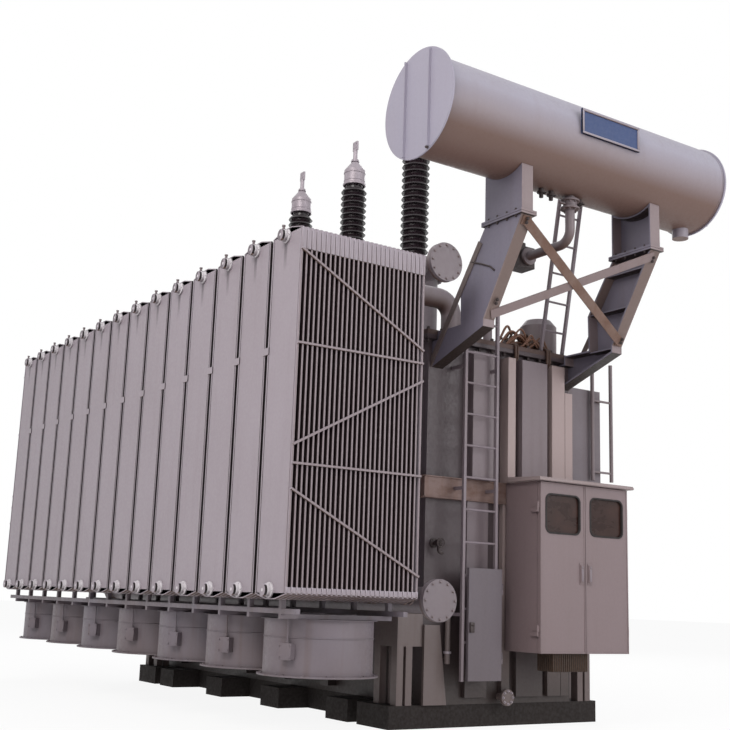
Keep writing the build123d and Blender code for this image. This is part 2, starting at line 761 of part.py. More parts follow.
def arm(y):
    """A foot on the tank's end wall with a leaning leg, up to the bolted joint."""
    flange_x = COVER_X + FOOT_CLEARANCE
    under = FOOT_ROOT_TOP
    foot = [
        (NEAR_WALL, under - FOOT_DEPTH),
        (FOOT_TIP_X, FOOT_TOP - FOOT_TIP_DEPTH),
        (FOOT_TIP_X, FOOT_TOP),
        (flange_x, FOOT_TOP),
        (flange_x, under),
        (NEAR_WALL, under),
    ]
    cleat = BRACE_WIDTH * 1.3
    leg = [
        (LEG_BACK[0], FOOT_TOP),
        (LEG_BACK[1], FOOT_TOP + LEG_BACK_RISE[0]),
        (LEG_BACK[2], FOOT_TOP + LEG_BACK_RISE[1]),
        (LEG_BACK[3], LEG_TOP),
        (LEG_FRONT[3], LEG_TOP),
        brace_line(LEG_HEIGHT - cleat),
        (LEG_FRONT[2], FOOT_TOP + LEG_FRONT_RISE[1]),
        (LEG_FRONT[1], FOOT_TOP + LEG_FRONT_RISE[0]),
        brace_line(cleat),
        (LEG_FRONT[0], FOOT_TOP),
    ]
    lip = JOINT_LIP
    body = side_plate(foot, y, y + ARM_THICK) + side_plate(leg, y, y + ARM_THICK)
    joint = block(LEG_BACK[3] - lip, LEG_FRONT[3] + lip, y - lip, y + ARM_THICK + lip, LEG_TOP, LEG_TOP + JOINT_PLATE)
    return body + joint


def saddle(y):
    """The saddle between the bolted joint and the barrel."""
    low = LEG_TOP + JOINT_PLATE
    lip = JOINT_LIP
    joint = block(LEG_BACK[3] - lip, LEG_FRONT[3] + lip, y - lip, y + ARM_THICK + lip, low, low + JOINT_PLATE)
    web = block(LEG_BACK[3], LEG_FRONT[3], y, y + ARM_THICK, low + JOINT_PLATE, BARREL_Z - BARREL_RADIUS + SADDLE_SWEEP)
    return joint + web - barrel_cutter()


def cross_brace(rising, layer):
    """One of the two diagonal bars between the arms, in its layer off the arms."""
    x_low, z_low = brace_line(BRACE_WIDTH / 2)
    x_high, z_high = brace_line(LEG_HEIGHT - BRACE_WIDTH / 2)
    left = ARM_LEFT_Y + ARM_THICK / 2
    right = ARM_RIGHT_Y + ARM_THICK / 2
    slope = Vector(x_high - x_low, 0, z_high - z_low)
    facing = Vector(0, 1, 0).cross(slope).normalized()
    start = Vector(x_low, left if rising else right, z_low)
    stop = Vector(x_high, right if rising else left, z_high)
    lift = facing * (BRACE_THICK * (layer + 0.5))
    return flat_bar(start + lift, stop + lift, BRACE_WIDTH, BRACE_THICK, facing)


def brace_spacers():
    """Packers under the ends of the outer brace."""
    x_low, z_low = brace_line(BRACE_WIDTH / 2)
    x_high, z_high = brace_line(LEG_HEIGHT - BRACE_WIDTH / 2)
    slope = Vector(x_high - x_low, 0, z_high - z_low)
    facing = Vector(0, 1, 0).cross(slope).normalized()
    lift = facing * (BRACE_THICK / 2)
    size = Box(BRACE_WIDTH, BRACE_WIDTH, BRACE_THICK)
    packers = []
    for x, y, z in ((x_low, ARM_RIGHT_Y, z_low), (x_high, ARM_LEFT_Y, z_high)):
        origin = Vector(x, y + ARM_THICK / 2, z) + lift
        packers.append(Plane(origin=origin, x_dir=slope, z_dir=facing) * size)
    return packers


def arm_stays():
    """Flat stays on the outer side of both arms, from the end wall to the legs."""
    stays = []
    for y in (ARM_LEFT_Y - STAY_THICK / 2, ARM_RIGHT_Y + ARM_THICK + STAY_THICK / 2):
        start = (NEAR_WALL - STAY_WIDTH, y, STAY_FOOT_Z - STAY_WIDTH * 1.5)
        bar = flat_bar(start, (STAY_TOP_X, y, STAY_TOP_Z), STAY_WIDTH, STAY_THICK, (0, 1, 0))
        wall = block(0, NEAR_WALL, y - STAY_WIDTH, y + STAY_WIDTH, 0, TANK_TOP)
        stays.append(bar - wall)
    return stays


# Oil pipe and the fittings on the cover


def relay_span():
    """The X of both ends of the gas relay."""
    return RELAY_X - RELAY_LENGTH / 2, RELAY_X + RELAY_LENGTH / 2


def swept_pipe(points, bend, radius):
    """A round pipe along straight runs joined by bends."""
    path = FilletPolyline(*points, radius=bend)
    return sweep(Plane(origin=path @ 0, z_dir=path % 0) * Circle(radius), path=path)


def oil_pipes():
    """The two lengths of oil pipe on either side of the gas relay."""
    near, far = relay_span()[1], relay_span()[0]
    y = OIL_PIPE_Y
    upper = [(BARREL_X, y, BARREL_Z - BARREL_RADIUS / 2), (BARREL_X, y, OIL_PIPE_Z), (near, y, OIL_PIPE_Z)]
    lower = [(far, y, OIL_PIPE_Z), (OIL_PIPE_DROP_X, y, OIL_PIPE_Z), (OIL_PIPE_DROP_X, y, COVER_TOP)]
    pipes = [swept_pipe(upper, OIL_PIPE_BEND, OIL_PIPE_RADIUS) - barrel_cutter()]
    pipes.append(swept_pipe(lower, OIL_PIPE_BEND, OIL_PIPE_RADIUS))
    for i, (x, out) in enumerate(((near, 1), (far, -1))):
        flange = rod((x, y, OIL_PIPE_Z), (x + out * RELAY_FLANGE_THICK, y, OIL_PIPE_Z), RELAY_FLANGE)
        pipes[i] = pipes[i] + flange
    return pipes


def gas_relay():
    """The gas relay: a cast body between two flanges, with its test head."""
    far, near = relay_span()
    y = OIL_PIPE_Y
    half = RELAY_WIDTH / 2
    step = RELAY_FLANGE_THICK
    low, high = OIL_PIPE_Z - RELAY_HEIGHT / 2, OIL_PIPE_Z + RELAY_HEIGHT / 2
    body = block(far + step, near - step, y - half, y + half, low, high)
    for x in (far, near - step):
        body += rod((x, y, OIL_PIPE_Z), (x + step, y, OIL_PIPE_Z), RELAY_FLANGE)
    return body + upright(RELAY_X, y, high, high + RELAY_HEIGHT / 4, half / 2)


def tap_changer_head():
    """The domed head of the tap changer on the cover."""
    z = COVER_TOP
    wall = z + DOME_HEIGHT - DOME_RADIUS / 2
    profile = [(0, z), (DOME_RADIUS + DOME_FLANGE, z), (DOME_RADIUS + DOME_FLANGE, z + DOME_FLANGE)]
    profile += [(DOME_RADIUS, z + DOME_FLANGE), (DOME_RADIUS, wall)]
    profile += [(DOME_RADIUS * 0.7, z + DOME_HEIGHT - DOME_FLANGE), (0, z + DOME_HEIGHT)]
    return Pos(DOME_X, DOME_Y, 0) * revolve(Plane.XZ * make_face(Polyline(*profile, close=True)), Axis.Z)


def manholes():
    """Bolted covers of two manholes on the cover."""
    lids = []
    for x in (-MANHOLE_SPREAD, 0):
        lids.append(upright(x, MANHOLE_Y, COVER_TOP, COVER_TOP + MANHOLE_HEIGHT, MANHOLE_RADIUS))
    return lids


def cover_ladder():
    """The leaning ladder from the cover to the back of the barrel."""
    half = LADDER_RAIL / 2
    foot = Vector(COVER_LADDER_X, COVER_LADDER_Y, COVER_TOP)
    top = Vector(COVER_LADDER_TOP_X, COVER_LADDER_Y, COVER_LADDER_TOP_Z)
    lean = (top - foot).normalized()
    side = Vector(0, COVER_LADDER_WIDTH, 0)
    body = None
    for shift in (Vector(0, 0, 0), side):
        start = foot + shift - lean * LADDER_RAIL
        rail = flat_bar(start, top + shift, LADDER_RAIL, LADDER_RAIL, (0, 1, 0))
        body = rail if body is None else body + rail
        hook_start = top + shift - lean * LADDER_RAIL
        hook = block(hook_start.X, BARREL_X, hook_start.Y - half, hook_start.Y + half, top.Z - 3 * half, top.Z - half)
        body += hook
    for i in range(COVER_LADDER_RUNGS):
        at = foot + lean * (RUNG_PITCH * (i + 0.75))
        body += rod(at, at + side, RUNG_RADIUS)
    floor = block(0, BARREL_X, -SIDE_WALL, SIDE_WALL, 0, COVER_TOP)
    return body - floor - barrel_cutter()


# Ladder on the end wall


def end_ladder():
    """Two rails with rungs, tied back to the end wall."""
    half = LADDER_RAIL / 2
    front, back = LADDER_X + half, LADDER_X - half
    body = None
    for y in (LADDER_LEFT_Y, LADDER_RIGHT_Y):
        rail = block(back, front, y - half, y + half, LADDER_FOOT, LADDER_TOP)
        body = rail if body is None else body + rail
        for z in LADDER_TIE_HEIGHTS:
            body += block(NEAR_WALL, back, y - half, y + half, z - half, z + half)
    for i in range(RUNG_COUNT):
        z = RUNG_FIRST + i * RUNG_PITCH
        body += rod((LADDER_X, LADDER_LEFT_Y, z), (LADDER_X, LADDER_RIGHT_Y, z), RUNG_RADIUS)
    return body - tank_belt() - tank_ribs() - tank_body()


def guard_axis():
    """X and Y of the guard door's hinge axis."""
    return GUARD_BACK_X + GUARD_THICK / 2, GUARD_RIGHT_Y + HINGE_OFFSET


def guard_hinge_heights():
    """The Z at which the guard door's knuckles rest on their lugs."""
    return GUARD_BOTTOM + HINGE_MARGIN, GUARD_TOP - HINGE_MARGIN


def guard_hinges():
    """Lugs with pins on the right-hand rail."""
    x, y = guard_axis()
    rail_y = LADDER_RIGHT_Y + LADDER_RAIL / 2
    back = LADDER_X - LADDER_RAIL / 2
    front = GUARD_BACK_X - GUARD_STANDOFF
    r = KNUCKLE_RADIUS
    lugs = []
    for z in guard_hinge_heights():
        lug = block(back, front, rail_y, y + r, z - LUG_HEIGHT, z)
        lug += block(back, x, y - r, y + r, z - LUG_HEIGHT, z)
        lug += upright(x, y, z - LUG_HEIGHT, z, r)
        lug += upright(x, y, z, z + KNUCKLE_HEIGHT * 0.8, PIN_RADIUS)
        lugs.append(lug)
    return lugs


def knuckle(x, y, z):
    """The hollow half of a lift-off hinge, open below."""
    low = z + PIN_CLEARANCE
    body = upright(x, y, low, z + KNUCKLE_HEIGHT, KNUCKLE_RADIUS)
    return body, upright(x, y, low, z + KNUCKLE_HEIGHT * 0.8 + PIN_CLEARANCE, PIN_RADIUS + PIN_CLEARANCE)


def guard_door():
    """The hinged plate that closes the foot of the ladder, with its latch."""
    front = GUARD_BACK_X + GUARD_THICK
    body = block(GUARD_BACK_X, front, GUARD_LEFT_Y, GUARD_RIGHT_Y, GUARD_BOTTOM, GUARD_TOP)
    middle = (GUARD_BOTTOM + GUARD_TOP) / 2
    y_low = GUARD_LEFT_Y + LATCH_SIZE / 3
    latch = block(front, front + LATCH_SIZE / 4, y_low, y_low + LATCH_SIZE / 2, middle - LATCH_SIZE, middle)
    body += latch
    x, y = guard_axis()
    for z in guard_hinge_heights():
        outer, hole = knuckle(x, y, z)
        leaf = block(x - PIN_RADIUS, x + PIN_RADIUS, GUARD_RIGHT_Y, y, z + PIN_CLEARANCE, z + KNUCKLE_HEIGHT)
        body = body + outer + leaf - hole
    return body


# Control cabinet


def cabinet_body():
    """The open-fronted cabinet with the lugs and pins of its doors."""
    y_low, y_high = CABINET_LEFT_Y, CABINET_RIGHT_Y
    wall = CABINET_WALL
    body = block(CABINET_BACK_X, BODY_FRONT_X, y_low, y_high, CABINET_BOTTOM, CABINET_TOP)
    inner_top = CABINET_TOP - wall
    body -= block(CABINET_BACK_X + wall, BODY_FRONT_X, y_low + wall, y_high - wall, CABINET_BOTTOM + wall, inner_top)
    for side in (-1, 1):
        for z in door_hinge_heights():
            body += door_lug(side, z)
    return body


def door_hinge_heights():
    """The Z at which the doors' knuckles rest on their lugs."""
    return CABINET_BOTTOM + HINGE_MARGIN, CABINET_TOP - HINGE_MARGIN - KNUCKLE_HEIGHT


def door_axis(side):
    """X and Y of a door's hinge axis; side -1 is the left door."""
    edge = CABINET_LEFT_Y if side < 0 else CABINET_RIGHT_Y
    return CABINET_FRONT_X - DOOR_THICK / 2, edge + side * HINGE_OFFSET


def door_lug(side, z):
    """One lug with its pin beside the cabinet's front edge."""
    x, y = door_axis(side)
    edge = CABINET_LEFT_Y if side < 0 else CABINET_RIGHT_Y
    r = KNUCKLE_RADIUS
    low = z - LUG_HEIGHT
    lug = block(BODY_FRONT_X - LUG_LENGTH, x, y - r, y + r, low, z)
    pad_low, pad_high = min(edge, y), max(edge, y)
    lug += block(BODY_FRONT_X - LUG_LENGTH, BODY_FRONT_X - DOOR_CLEARANCE, pad_low, pad_high, low, z)
    lug += upright(x, y, low, z, r)
    return lug + upright(x, y, z, z + KNUCKLE_HEIGHT * 0.8, PIN_RADIUS)


def cabinet_roof():
    """The overhanging roof plate of the cabinet."""
    front = CABINET_FRONT_X + ROOF_REACH
    y_low, y_high = CABINET_LEFT_Y - ROOF_REACH, CABINET_RIGHT_Y + ROOF_REACH
    low = CABINET_TOP
    ridge = low + ROOF_THICK
    edge = ROOF_THICK * 0.6
    back = max(CABINET_BACK_X, NEAR_WALL + RIB_DEPTH + ROOF_GAP)
    points = [(back, low), (front, low), (front, low + edge), (back, ridge)]
    return side_plate(points, y_low, y_high)


def door_span(side):
    """The Y of a door's outer and inner edges."""
    gap = DOOR_CLEARANCE / 2
    if side < 0:
        return CABINET_LEFT_Y, CABINET_MID_Y - gap
    return CABINET_MID_Y + gap, CABINET_RIGHT_Y


def window_outline(side, shrink):
    """The rounded window of a door, as a face on the door's back."""
    y_low, y_high = door_span(side)
    top = CABINET_TOP - WINDOW_TOP
    centre = ((y_low + y_high) / 2, top - WINDOW_HEIGHT / 2)
    width, height = WINDOW_WIDTH - 2 * shrink, WINDOW_HEIGHT - 2 * shrink
    face = Pos(*centre) * RectangleRounded(width, height, WINDOW_RADIUS - shrink)
    return Plane(origin=(DOOR_BACK_X, 0, 0), x_dir=(0, 1, 0), z_dir=(1, 0, 0)) * face


def cabinet_door(side):
    """A cabinet door with its window, handle and knuckles."""
    y_low, y_high = door_span(side)
    z_low, z_high = CABINET_BOTTOM, CABINET_TOP - DOOR_CLEARANCE
    body = block(DOOR_BACK_X, CABINET_FRONT_X, y_low, y_high, z_low, z_high)
    body -= extrude(window_outline(side, 0), DOOR_THICK)
    free = y_high if side < 0 else y_low
    grip = free + side * (HANDLE_INSET + HANDLE_WIDTH / 2)
    half = HANDLE_WIDTH / 2
    low = HANDLE_Z - HANDLE_HEIGHT / 2
    body += block(CABINET_FRONT_X, CABINET_FRONT_X + HANDLE_DEPTH, grip - half, grip + half, low, low + HANDLE_HEIGHT)
    x, y = door_axis(side)
    edge = y_low if side < 0 else y_high
    for z in door_hinge_heights():
        outer, hole = knuckle(x, y, z)
        leaf_low, leaf_high = min(y, edge), max(y, edge)
        leaf = block(x - PIN_RADIUS, x + PIN_RADIUS, leaf_low, leaf_high, z + PIN_CLEARANCE, z + KNUCKLE_HEIGHT)
        body = body + outer + leaf - hole
    return body


def cabinet_window(side):
    """The pane of a cabinet door."""
    inset = (DOOR_THICK - WINDOW_THICK) / 2
    return Pos(inset, 0, 0) * extrude(window_outline(side, SEAT_GAP), WINDOW_THICK)


def cabinet_brackets():
    """Pads between the end wall and the cabinet's back, clear of the ribs."""
    pads = []
    places = []
    for i in (1, 2, 3):
        low = END_RIB_CENTRES[i] + END_RIB_WIDTHS[i] / 2
        high = END_RIB_CENTRES[i + 1] - END_RIB_WIDTHS[i + 1] / 2
        if high - low > 2 * CABINET_WALL:
            places.append((low, high))
    for y_low, y_high in places:
        for z in BRACKET_HEIGHTS:
            half = BRACKET_SIZE / 2
            pads.append(block(NEAR_WALL, CABINET_BACK_X, y_low, y_high, z - half, z + half))
    return pads


def cable_duct():
    """The cable duct under the cabinet."""
    bottom = DUCT_TOP - DUCT_DROP
    return block(DUCT_X, DUCT_X + DUCT_DEPTH, DUCT_Y, DUCT_Y + DUCT_WIDTH, bottom, DUCT_TOP)


# Far side and small fittings


def cable_box():
    """The cable box on the tank's far side wall."""
    x_low = CABLE_BOX_END_X - CABLE_BOX_LENGTH
    top = CABLE_BOX_BOTTOM + CABLE_BOX_HEIGHT
    outer = SIDE_WALL + CABLE_BOX_DEPTH
    body = block(x_low, CABLE_BOX_END_X, SIDE_WALL, outer, CABLE_BOX_BOTTOM, top)
    return body - tank_belt() - tank_ribs() - tank_body()


def breather_pipes():
    """Two upright breather pipes with clips on the cable box."""
    outer = SIDE_WALL + CABLE_BOX_DEPTH
    x = CABLE_BOX_END_X + BREATHER_STANDOFF + BREATHER_RADIUS
    body = None
    clip = BREATHER_RADIUS / 2
    for y in BREATHER_Y:
        pipe = upright(x, y, BREATHER_FOOT, BREATHER_TOP, BREATHER_RADIUS)
        body = pipe if body is None else body + pipe
    for z in (BREATHER_FOOT + 4 * BREATHER_RADIUS, CABLE_BOX_BOTTOM + CABLE_BOX_HEIGHT - 6 * BREATHER_RADIUS):
        body += block(x - clip, x + clip, BREATHER_Y[0], BREATHER_Y[1], z, z + 2 * clip)
        body += block(CABLE_BOX_END_X, x, outer - 6 * clip, outer - 2 * clip, z, z + 2 * clip)
    return body


def drain_valve():
    """The flanged drain at the foot of the end wall."""
    end = NEAR_WALL + DRAIN_LENGTH
    pipe = rod((NEAR_WALL, DRAIN_Y, DRAIN_Z), (end, DRAIN_Y, DRAIN_Z), DRAIN_RADIUS)
    flange = rod((end - BLIND_THICK, DRAIN_Y, DRAIN_Z), (end, DRAIN_Y, DRAIN_Z), DRAIN_FLANGE)
    return pipe + flange - tank_ribs()


def wall_pipe():
    """A sampling pipe on the end wall with its flanged branch."""
    r = WALL_PIPE_RADIUS
    x = NEAR_WALL + 2 * r
    body = upright(x, WALL_PIPE_Y, WALL_PIPE_BOTTOM, WALL_PIPE_TOP, r)
    for z in (WALL_PIPE_BOTTOM + 2 * r, WALL_PIPE_TOP - 2 * r):
        body += rod((NEAR_WALL, WALL_PIPE_Y, z), (x, WALL_PIPE_Y, z), r / 2)
    return body


def main():
    os.makedirs("parts", exist_ok=True)
    save(base_frame(), "base_frame")
    save(tank_body(), "tank_body")
    save(tank_cover(), "tank_cover")
    save(tank_belt(), "tank_belt")
    save(Compound(tank_ribs()), "tank_ribs")
    save(Compound(jacking_brackets()), "jacking_brackets")
    save(Compound(corner_buttresses()), "corner_buttresses")

    one = radiator()
    save(Compound([Pos(x, 0, 0) * one for x in radiator_places()]), "radiators")
    save(Compound(radiator_ties() + end_rods()), "radiator_straps")
    save(Compound([manifold(MANIFOLD_HIGH), manifold(MANIFOLD_LOW)]), "manifolds")
    save(Compound([top_crossover()] + low_crossovers()), "crossover_pipes")

    shroud, impeller = fan_shroud(), fan_impeller()
    save(Compound([Pos(x, 0, 0) * shroud for x in fan_places()]), "fan_shrouds")
    save(Compound([Pos(x, 0, 0) * impeller for x in fan_places()]), "fan_impellers")
    save(fan_frame(), "fan_frame")
    save(Compound(fan_boxes()), "fan_boxes")

    bushings = [BUSHING_FIRST_X - i * BUSHING_PITCH for i in range(BUSHING_COUNT)]
    save(Compound([bushing_turret(x) for x in bushings]), "bushing_turrets")
    save(Compound([bushing_cap(x) for x in bushings]), "bushing_caps")
    save(Compound([bushing_porcelain(x) for x in bushings]), "bushing_porcelains")

    save(conservator_barrel(), "conservator_barrel")
    near_end = conservator_end(BARREL_NEAR_Y, -1, DISC_RADIUS)
    far_end = conservator_end(BARREL_FAR_Y, 1, FAR_DISC_RADIUS)
    save(Compound([near_end, far_end]), "conservator_ends")
    save(name_panel(), "name_panel")
    save(Compound([arm(ARM_LEFT_Y), arm(ARM_RIGHT_Y)]), "arms")
    save(Compound([saddle(ARM_LEFT_Y), saddle(ARM_RIGHT_Y)]), "saddles")
    save(cross_brace(True, 0), "cross_brace_inner")
    save(cross_brace(False, 1) + brace_spacers(), "cross_brace_outer")
    save(Compound(arm_stays()), "arm_stays")

    save(Compound(oil_pipes()), "oil_pipes")
    save(gas_relay(), "gas_relay")
    save(tap_changer_head(), "tap_changer_head")
    save(Compound(manholes()), "manhole_covers")
    save(cover_ladder(), "cover_ladder")
    save(end_ladder(), "end_ladder")
    save(Compound(guard_hinges()), "guard_hinges")
    save(guard_door(), "guard_door")

    save(cabinet_body(), "cabinet_body")
    save(cabinet_roof(), "cabinet_roof")
    for side, name in ((-1, "left"), (1, "right")):
        save(cabinet_door(side), f"cabinet_door_{name}")
        save(cabinet_window(side), f"cabinet_window_{name}")
    save(Compound(cabinet_brackets()), "cabinet_brackets")
    save(cable_duct(), "cable_duct")
    save(cable_box(), "cable_box")
    save(breather_pipes(), "breather_pipes")
    save(Compound([drain_valve(), wall_pipe()]), "wall_fittings")


main()
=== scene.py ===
import json
import math
import random

import bmesh
import bpy
from mathutils import Matrix, Vector


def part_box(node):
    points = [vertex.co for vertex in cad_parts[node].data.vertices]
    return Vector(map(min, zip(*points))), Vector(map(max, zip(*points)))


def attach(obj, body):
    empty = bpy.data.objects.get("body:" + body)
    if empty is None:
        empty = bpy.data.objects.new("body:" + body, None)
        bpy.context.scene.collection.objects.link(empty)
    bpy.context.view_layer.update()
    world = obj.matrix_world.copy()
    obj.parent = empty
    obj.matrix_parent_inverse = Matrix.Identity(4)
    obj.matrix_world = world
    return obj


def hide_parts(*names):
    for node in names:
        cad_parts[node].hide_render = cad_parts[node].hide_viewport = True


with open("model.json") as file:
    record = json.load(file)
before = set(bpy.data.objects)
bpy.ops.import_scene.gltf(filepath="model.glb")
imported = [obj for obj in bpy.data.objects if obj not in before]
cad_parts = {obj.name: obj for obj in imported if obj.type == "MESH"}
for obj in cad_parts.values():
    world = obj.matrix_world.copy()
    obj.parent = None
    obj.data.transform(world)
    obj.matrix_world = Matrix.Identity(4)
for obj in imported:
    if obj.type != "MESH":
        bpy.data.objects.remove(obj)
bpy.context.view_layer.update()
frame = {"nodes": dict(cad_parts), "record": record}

# A power transformer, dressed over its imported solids. Metres, +X towards the
# near end, -Y towards the radiators, +Z up.

BODY = "transformer"
X, Y, Z = Vector((1, 0, 0)), Vector((0, 1, 0)), Vector((0, 0, 1))

# The photograph's camera: its place, its turn about the axes and its lens
CAMERA_PLACE = (11.108, -7.099, 1.100)
CAMERA_YAW = 33.32
CAMERA_PITCH = 11.82
CAMERA_ROLL = 1.96
CAMERA_LENS = 55.34


# Places that the pieces share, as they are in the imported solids


def span(node, axis):
    """The lowest and highest value of a node on one axis."""
    low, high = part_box(node)
    return low[axis], high[axis]


NEAR_WALL = 2.77
COVER_EDGE = 2.84
TANK_TOP, COVER_TOP = span("tank_cover", 2)
RADIATOR_COUNT = 14
RADIATOR_PITCH = 0.52
FIN_COUNT = 28
FIN_PITCH = 0.045
FIN_THICK = 0.016
FIN_HALF = 0.24
SHOULDER_HALF = 0.07
SHOULDER_RISE = 0.04
BAND = 0.175
BANK_LOW, BANK_HIGH = span("radiators", 2)
BANK_REACH = (RADIATOR_COUNT - 1) * RADIATOR_PITCH / 2 + FIN_HALF
FIN_LOW, FIN_HIGH = BANK_LOW + SHOULDER_RISE, BANK_HIGH - SHOULDER_RISE
HEADER_CAP_FACE, BANK_INNER = span("radiators", 1)
HEADER_CAP = 0.07
HEADER_INSET = 0.06
HEADER_RADIUS = 0.047
HEADER_LEVELS = (BANK_LOW + HEADER_INSET, BANK_HIGH - HEADER_INSET)
BANK_OUTER = HEADER_CAP_FACE + HEADER_CAP
BLIND_RADIUS = 0.175
FAN_COUNT = 7
FAN_PITCH = 1.04
FAN_RADIUS = 0.445
FAN_LIP = 0.49
FAN_LOW, FAN_HIGH = span("fan_shrouds", 2)
FAN_X = span("fan_shrouds", 0)[1] - FAN_LIP
FAN_Y = sum(span("fan_shrouds", 1)) / 2
BUSHING_COUNT = 3
BUSHING_PITCH = 1.23
BUSHING_X = 1.821
BUSHING_Y = -0.422
TURRET_TOP = span("bushing_turrets", 2)[1]
PORCELAIN_LOW, PORCELAIN_HIGH = span("bushing_porcelains", 2)
BARREL_X = sum(span("conservator_ends", 0)) / 2
BARREL_Z = sum(span("conservator_ends", 2)) / 2
BARREL_RADIUS = 0.437
BARREL_NEAR, BARREL_FAR = -1.826, 1.616
BARREL_LOW = BARREL_Z - BARREL_RADIUS
OIL_X, OIL_Y = 2.62, -0.06
JOINT_LOW = 4.46
JOINT_PLATE = 0.022
JOINT_HIGH = JOINT_LOW + 2 * JOINT_PLATE
JOINT_LIP = 0.025
ARM_PLACES = (-0.862, 0.763)
ARM_THICK = 0.13
LEG_NEAR, LEG_FAR = 4.035, 3.534
DRAIN_PLACE = (2.9, 0, 0.262)
SAMPLING_PLACE = (2.82, -0.655)
CABINET_FRONT = 3.32
CABINET_LEFT, CABINET_RIGHT = 0.015, 1.148
CABINET_LOW, CABINET_HIGH = span("cabinet_door_left", 2)
WINDOW_WIDTH, WINDOW_HEIGHT, WINDOW_Z = 0.43, 0.36, 1.947
LOCK_Z = 1.407
GRIP_INSET = 0.05

# The X of each radiator, fan and bushing, from the near end, and both sides of each fin in Y
RADIATORS = [(RADIATOR_COUNT - 1) * RADIATOR_PITCH / 2 - i * RADIATOR_PITCH for i in range(RADIATOR_COUNT)]
FANS = [FAN_X - i * FAN_PITCH for i in range(FAN_COUNT)]
BUSHINGS = [BUSHING_X - i * BUSHING_PITCH for i in range(BUSHING_COUNT)]
FINS = [(BANK_OUTER + i * FIN_PITCH, BANK_OUTER + i * FIN_PITCH + FIN_THICK) for i in range(FIN_COUNT)]


# Materials


def srgb(red, green, blue):
    """A colour written 0 to 255, as the linear values that a shader takes."""
    def linear(value):
        value /= 255
        return value / 12.92 if value <= 0.04045 else ((value + 0.055) / 1.055) ** 2.4
    return (linear(red), linear(green), linear(blue), 1)


def add(tree, kind, **values):
    """A new node with some of its own values set."""
    node = tree.nodes.new(kind)
    for key, value in values.items():
        setattr(node, key, value)
    return node


def give(node, values):
    """Sets inputs of a node to plain values."""
    for key, value in values.items():
        node.inputs[key].default_value = value


def calculate(tree, operation, *values):
    """A calculation on plain numbers or outputs."""
    node = add(tree, "ShaderNodeMath", operation=operation)
    for socket, value in zip(node.inputs, values):
        if isinstance(value, (int, float)):
            socket.default_value = value
        else:
            tree.links.new(value, socket)
    return node.outputs["Value"]


def noise(tree, stretch, detail):
    """A noise over the object's coordinates, stretched per axis."""
    place = add(tree, "ShaderNodeTexCoord")
    fit = add(tree, "ShaderNodeMapping")
    give(fit, {"Scale": stretch})
    field = add(tree, "ShaderNodeTexNoise")
    give(field, {"Scale": 1, "Detail": detail, "Roughness": 0.55})
    tree.links.new(place.outputs["Object"], fit.inputs["Vector"])
    tree.links.new(fit.outputs["Vector"], field.inputs["Vector"])
    return field.outputs["Fac"]


def spread(tree, value, low, high, to_low, to_high):
    """A value mapped from one range to another and held inside it."""
    node = add(tree, "ShaderNodeMapRange", clamp=True)
    give(node, {"From Min": low, "From Max": high, "To Min": to_low, "To Max": to_high})
    tree.links.new(value, node.inputs["Value"])
    return node.outputs["Result"]


def blend_colours(tree, factor, first, second):
    """Two colours, or colour outputs, mixed by a factor."""
    node = add(tree, "ShaderNodeMix", data_type="RGBA")
    tree.links.new(factor, node.inputs["Factor"])
    for socket, colour in ((node.inputs[6], first), (node.inputs[7], second)):
        if isinstance(colour, tuple):
            socket.default_value = colour
        else:
            tree.links.new(colour, socket)
    return node.outputs[2]


def axis_value(tree, kind, output, axis):
    """One axis of a vector output."""
    source = add(tree, kind)
    split = add(tree, "ShaderNodeSeparateXYZ")
    tree.links.new(source.outputs[output], split.inputs["Vector"])
    return split.outputs[axis]


def place_on(tree, axis):
    """Where a point lies on an axis."""
    return axis_value(tree, "ShaderNodeTexCoord", "Object", axis)


def facing_on(tree, axis):
    """How far a face looks along an axis, -1 to 1."""
    return axis_value(tree, "ShaderNodeNewGeometry", "Normal", axis)


def new_material(name):
    """A new material, its node tree and its shader."""
    material = bpy.data.materials.new(name)
    material.use_nodes = True
    tree = material.node_tree
    return material, tree, tree.nodes["Principled BSDF"]


def weathered(name, colour, stain, rough=0.5, amount=0.5, below=None, metal=0.0, coat=0.0,
              bump=0.12, edge=0.006, shade_fade=(0.25, -0.85)):
    """Old paint: broad tones, streaks that run down, fine specks, grime low down, worn edges, and painted
    shade on the faces that look down where a colour below is given.
    """
    material, tree, shader = new_material(name)
    give(shader, {"Metallic": metal, "Coat Weight": coat})
    broad = spread(tree, noise(tree, (1.3, 1.3, 1.1), 5), 0.38, 0.72, 0, 0.55 * amount)
    streak = spread(tree, noise(tree, (11, 11, 0.7), 5), 0.5, 0.78, 0, 0.7 * amount)
    low_grime = spread(tree, place_on(tree, "Z"), 0.1, 1.2, 0.45 * amount, 0)
    base = srgb(*colour)
    for factor in (broad, streak, low_grime):
        base = blend_colours(tree, factor, base, srgb(*stain))
    # Painted shade: faces that look down take the colour below, more so the further down they look.
    if below is not None:
        underside_shade = spread(tree, facing_on(tree, "Z"), *shade_fade, 0, 1)
        base = blend_colours(tree, underside_shade, base, srgb(*below))
    tree.links.new(base, shader.inputs["Base Color"])
    speck = noise(tree, (38, 38, 38), 4)
    roughness = spread(tree, speck, 0.3, 0.7, rough - 0.1, rough + 0.12)
    tree.links.new(roughness, shader.inputs["Roughness"])
    round_off = add(tree, "ShaderNodeBevel", samples=4)
    give(round_off, {"Radius": edge})
    relief = add(tree, "ShaderNodeBump")
    give(relief, {"Strength": bump, "Distance": 0.004})
    tree.links.new(speck, relief.inputs["Height"])
    tree.links.new(round_off.outputs["Normal"], relief.inputs["Normal"])
    tree.links.new(relief.outputs["Normal"], shader.inputs["Normal"])
    return material


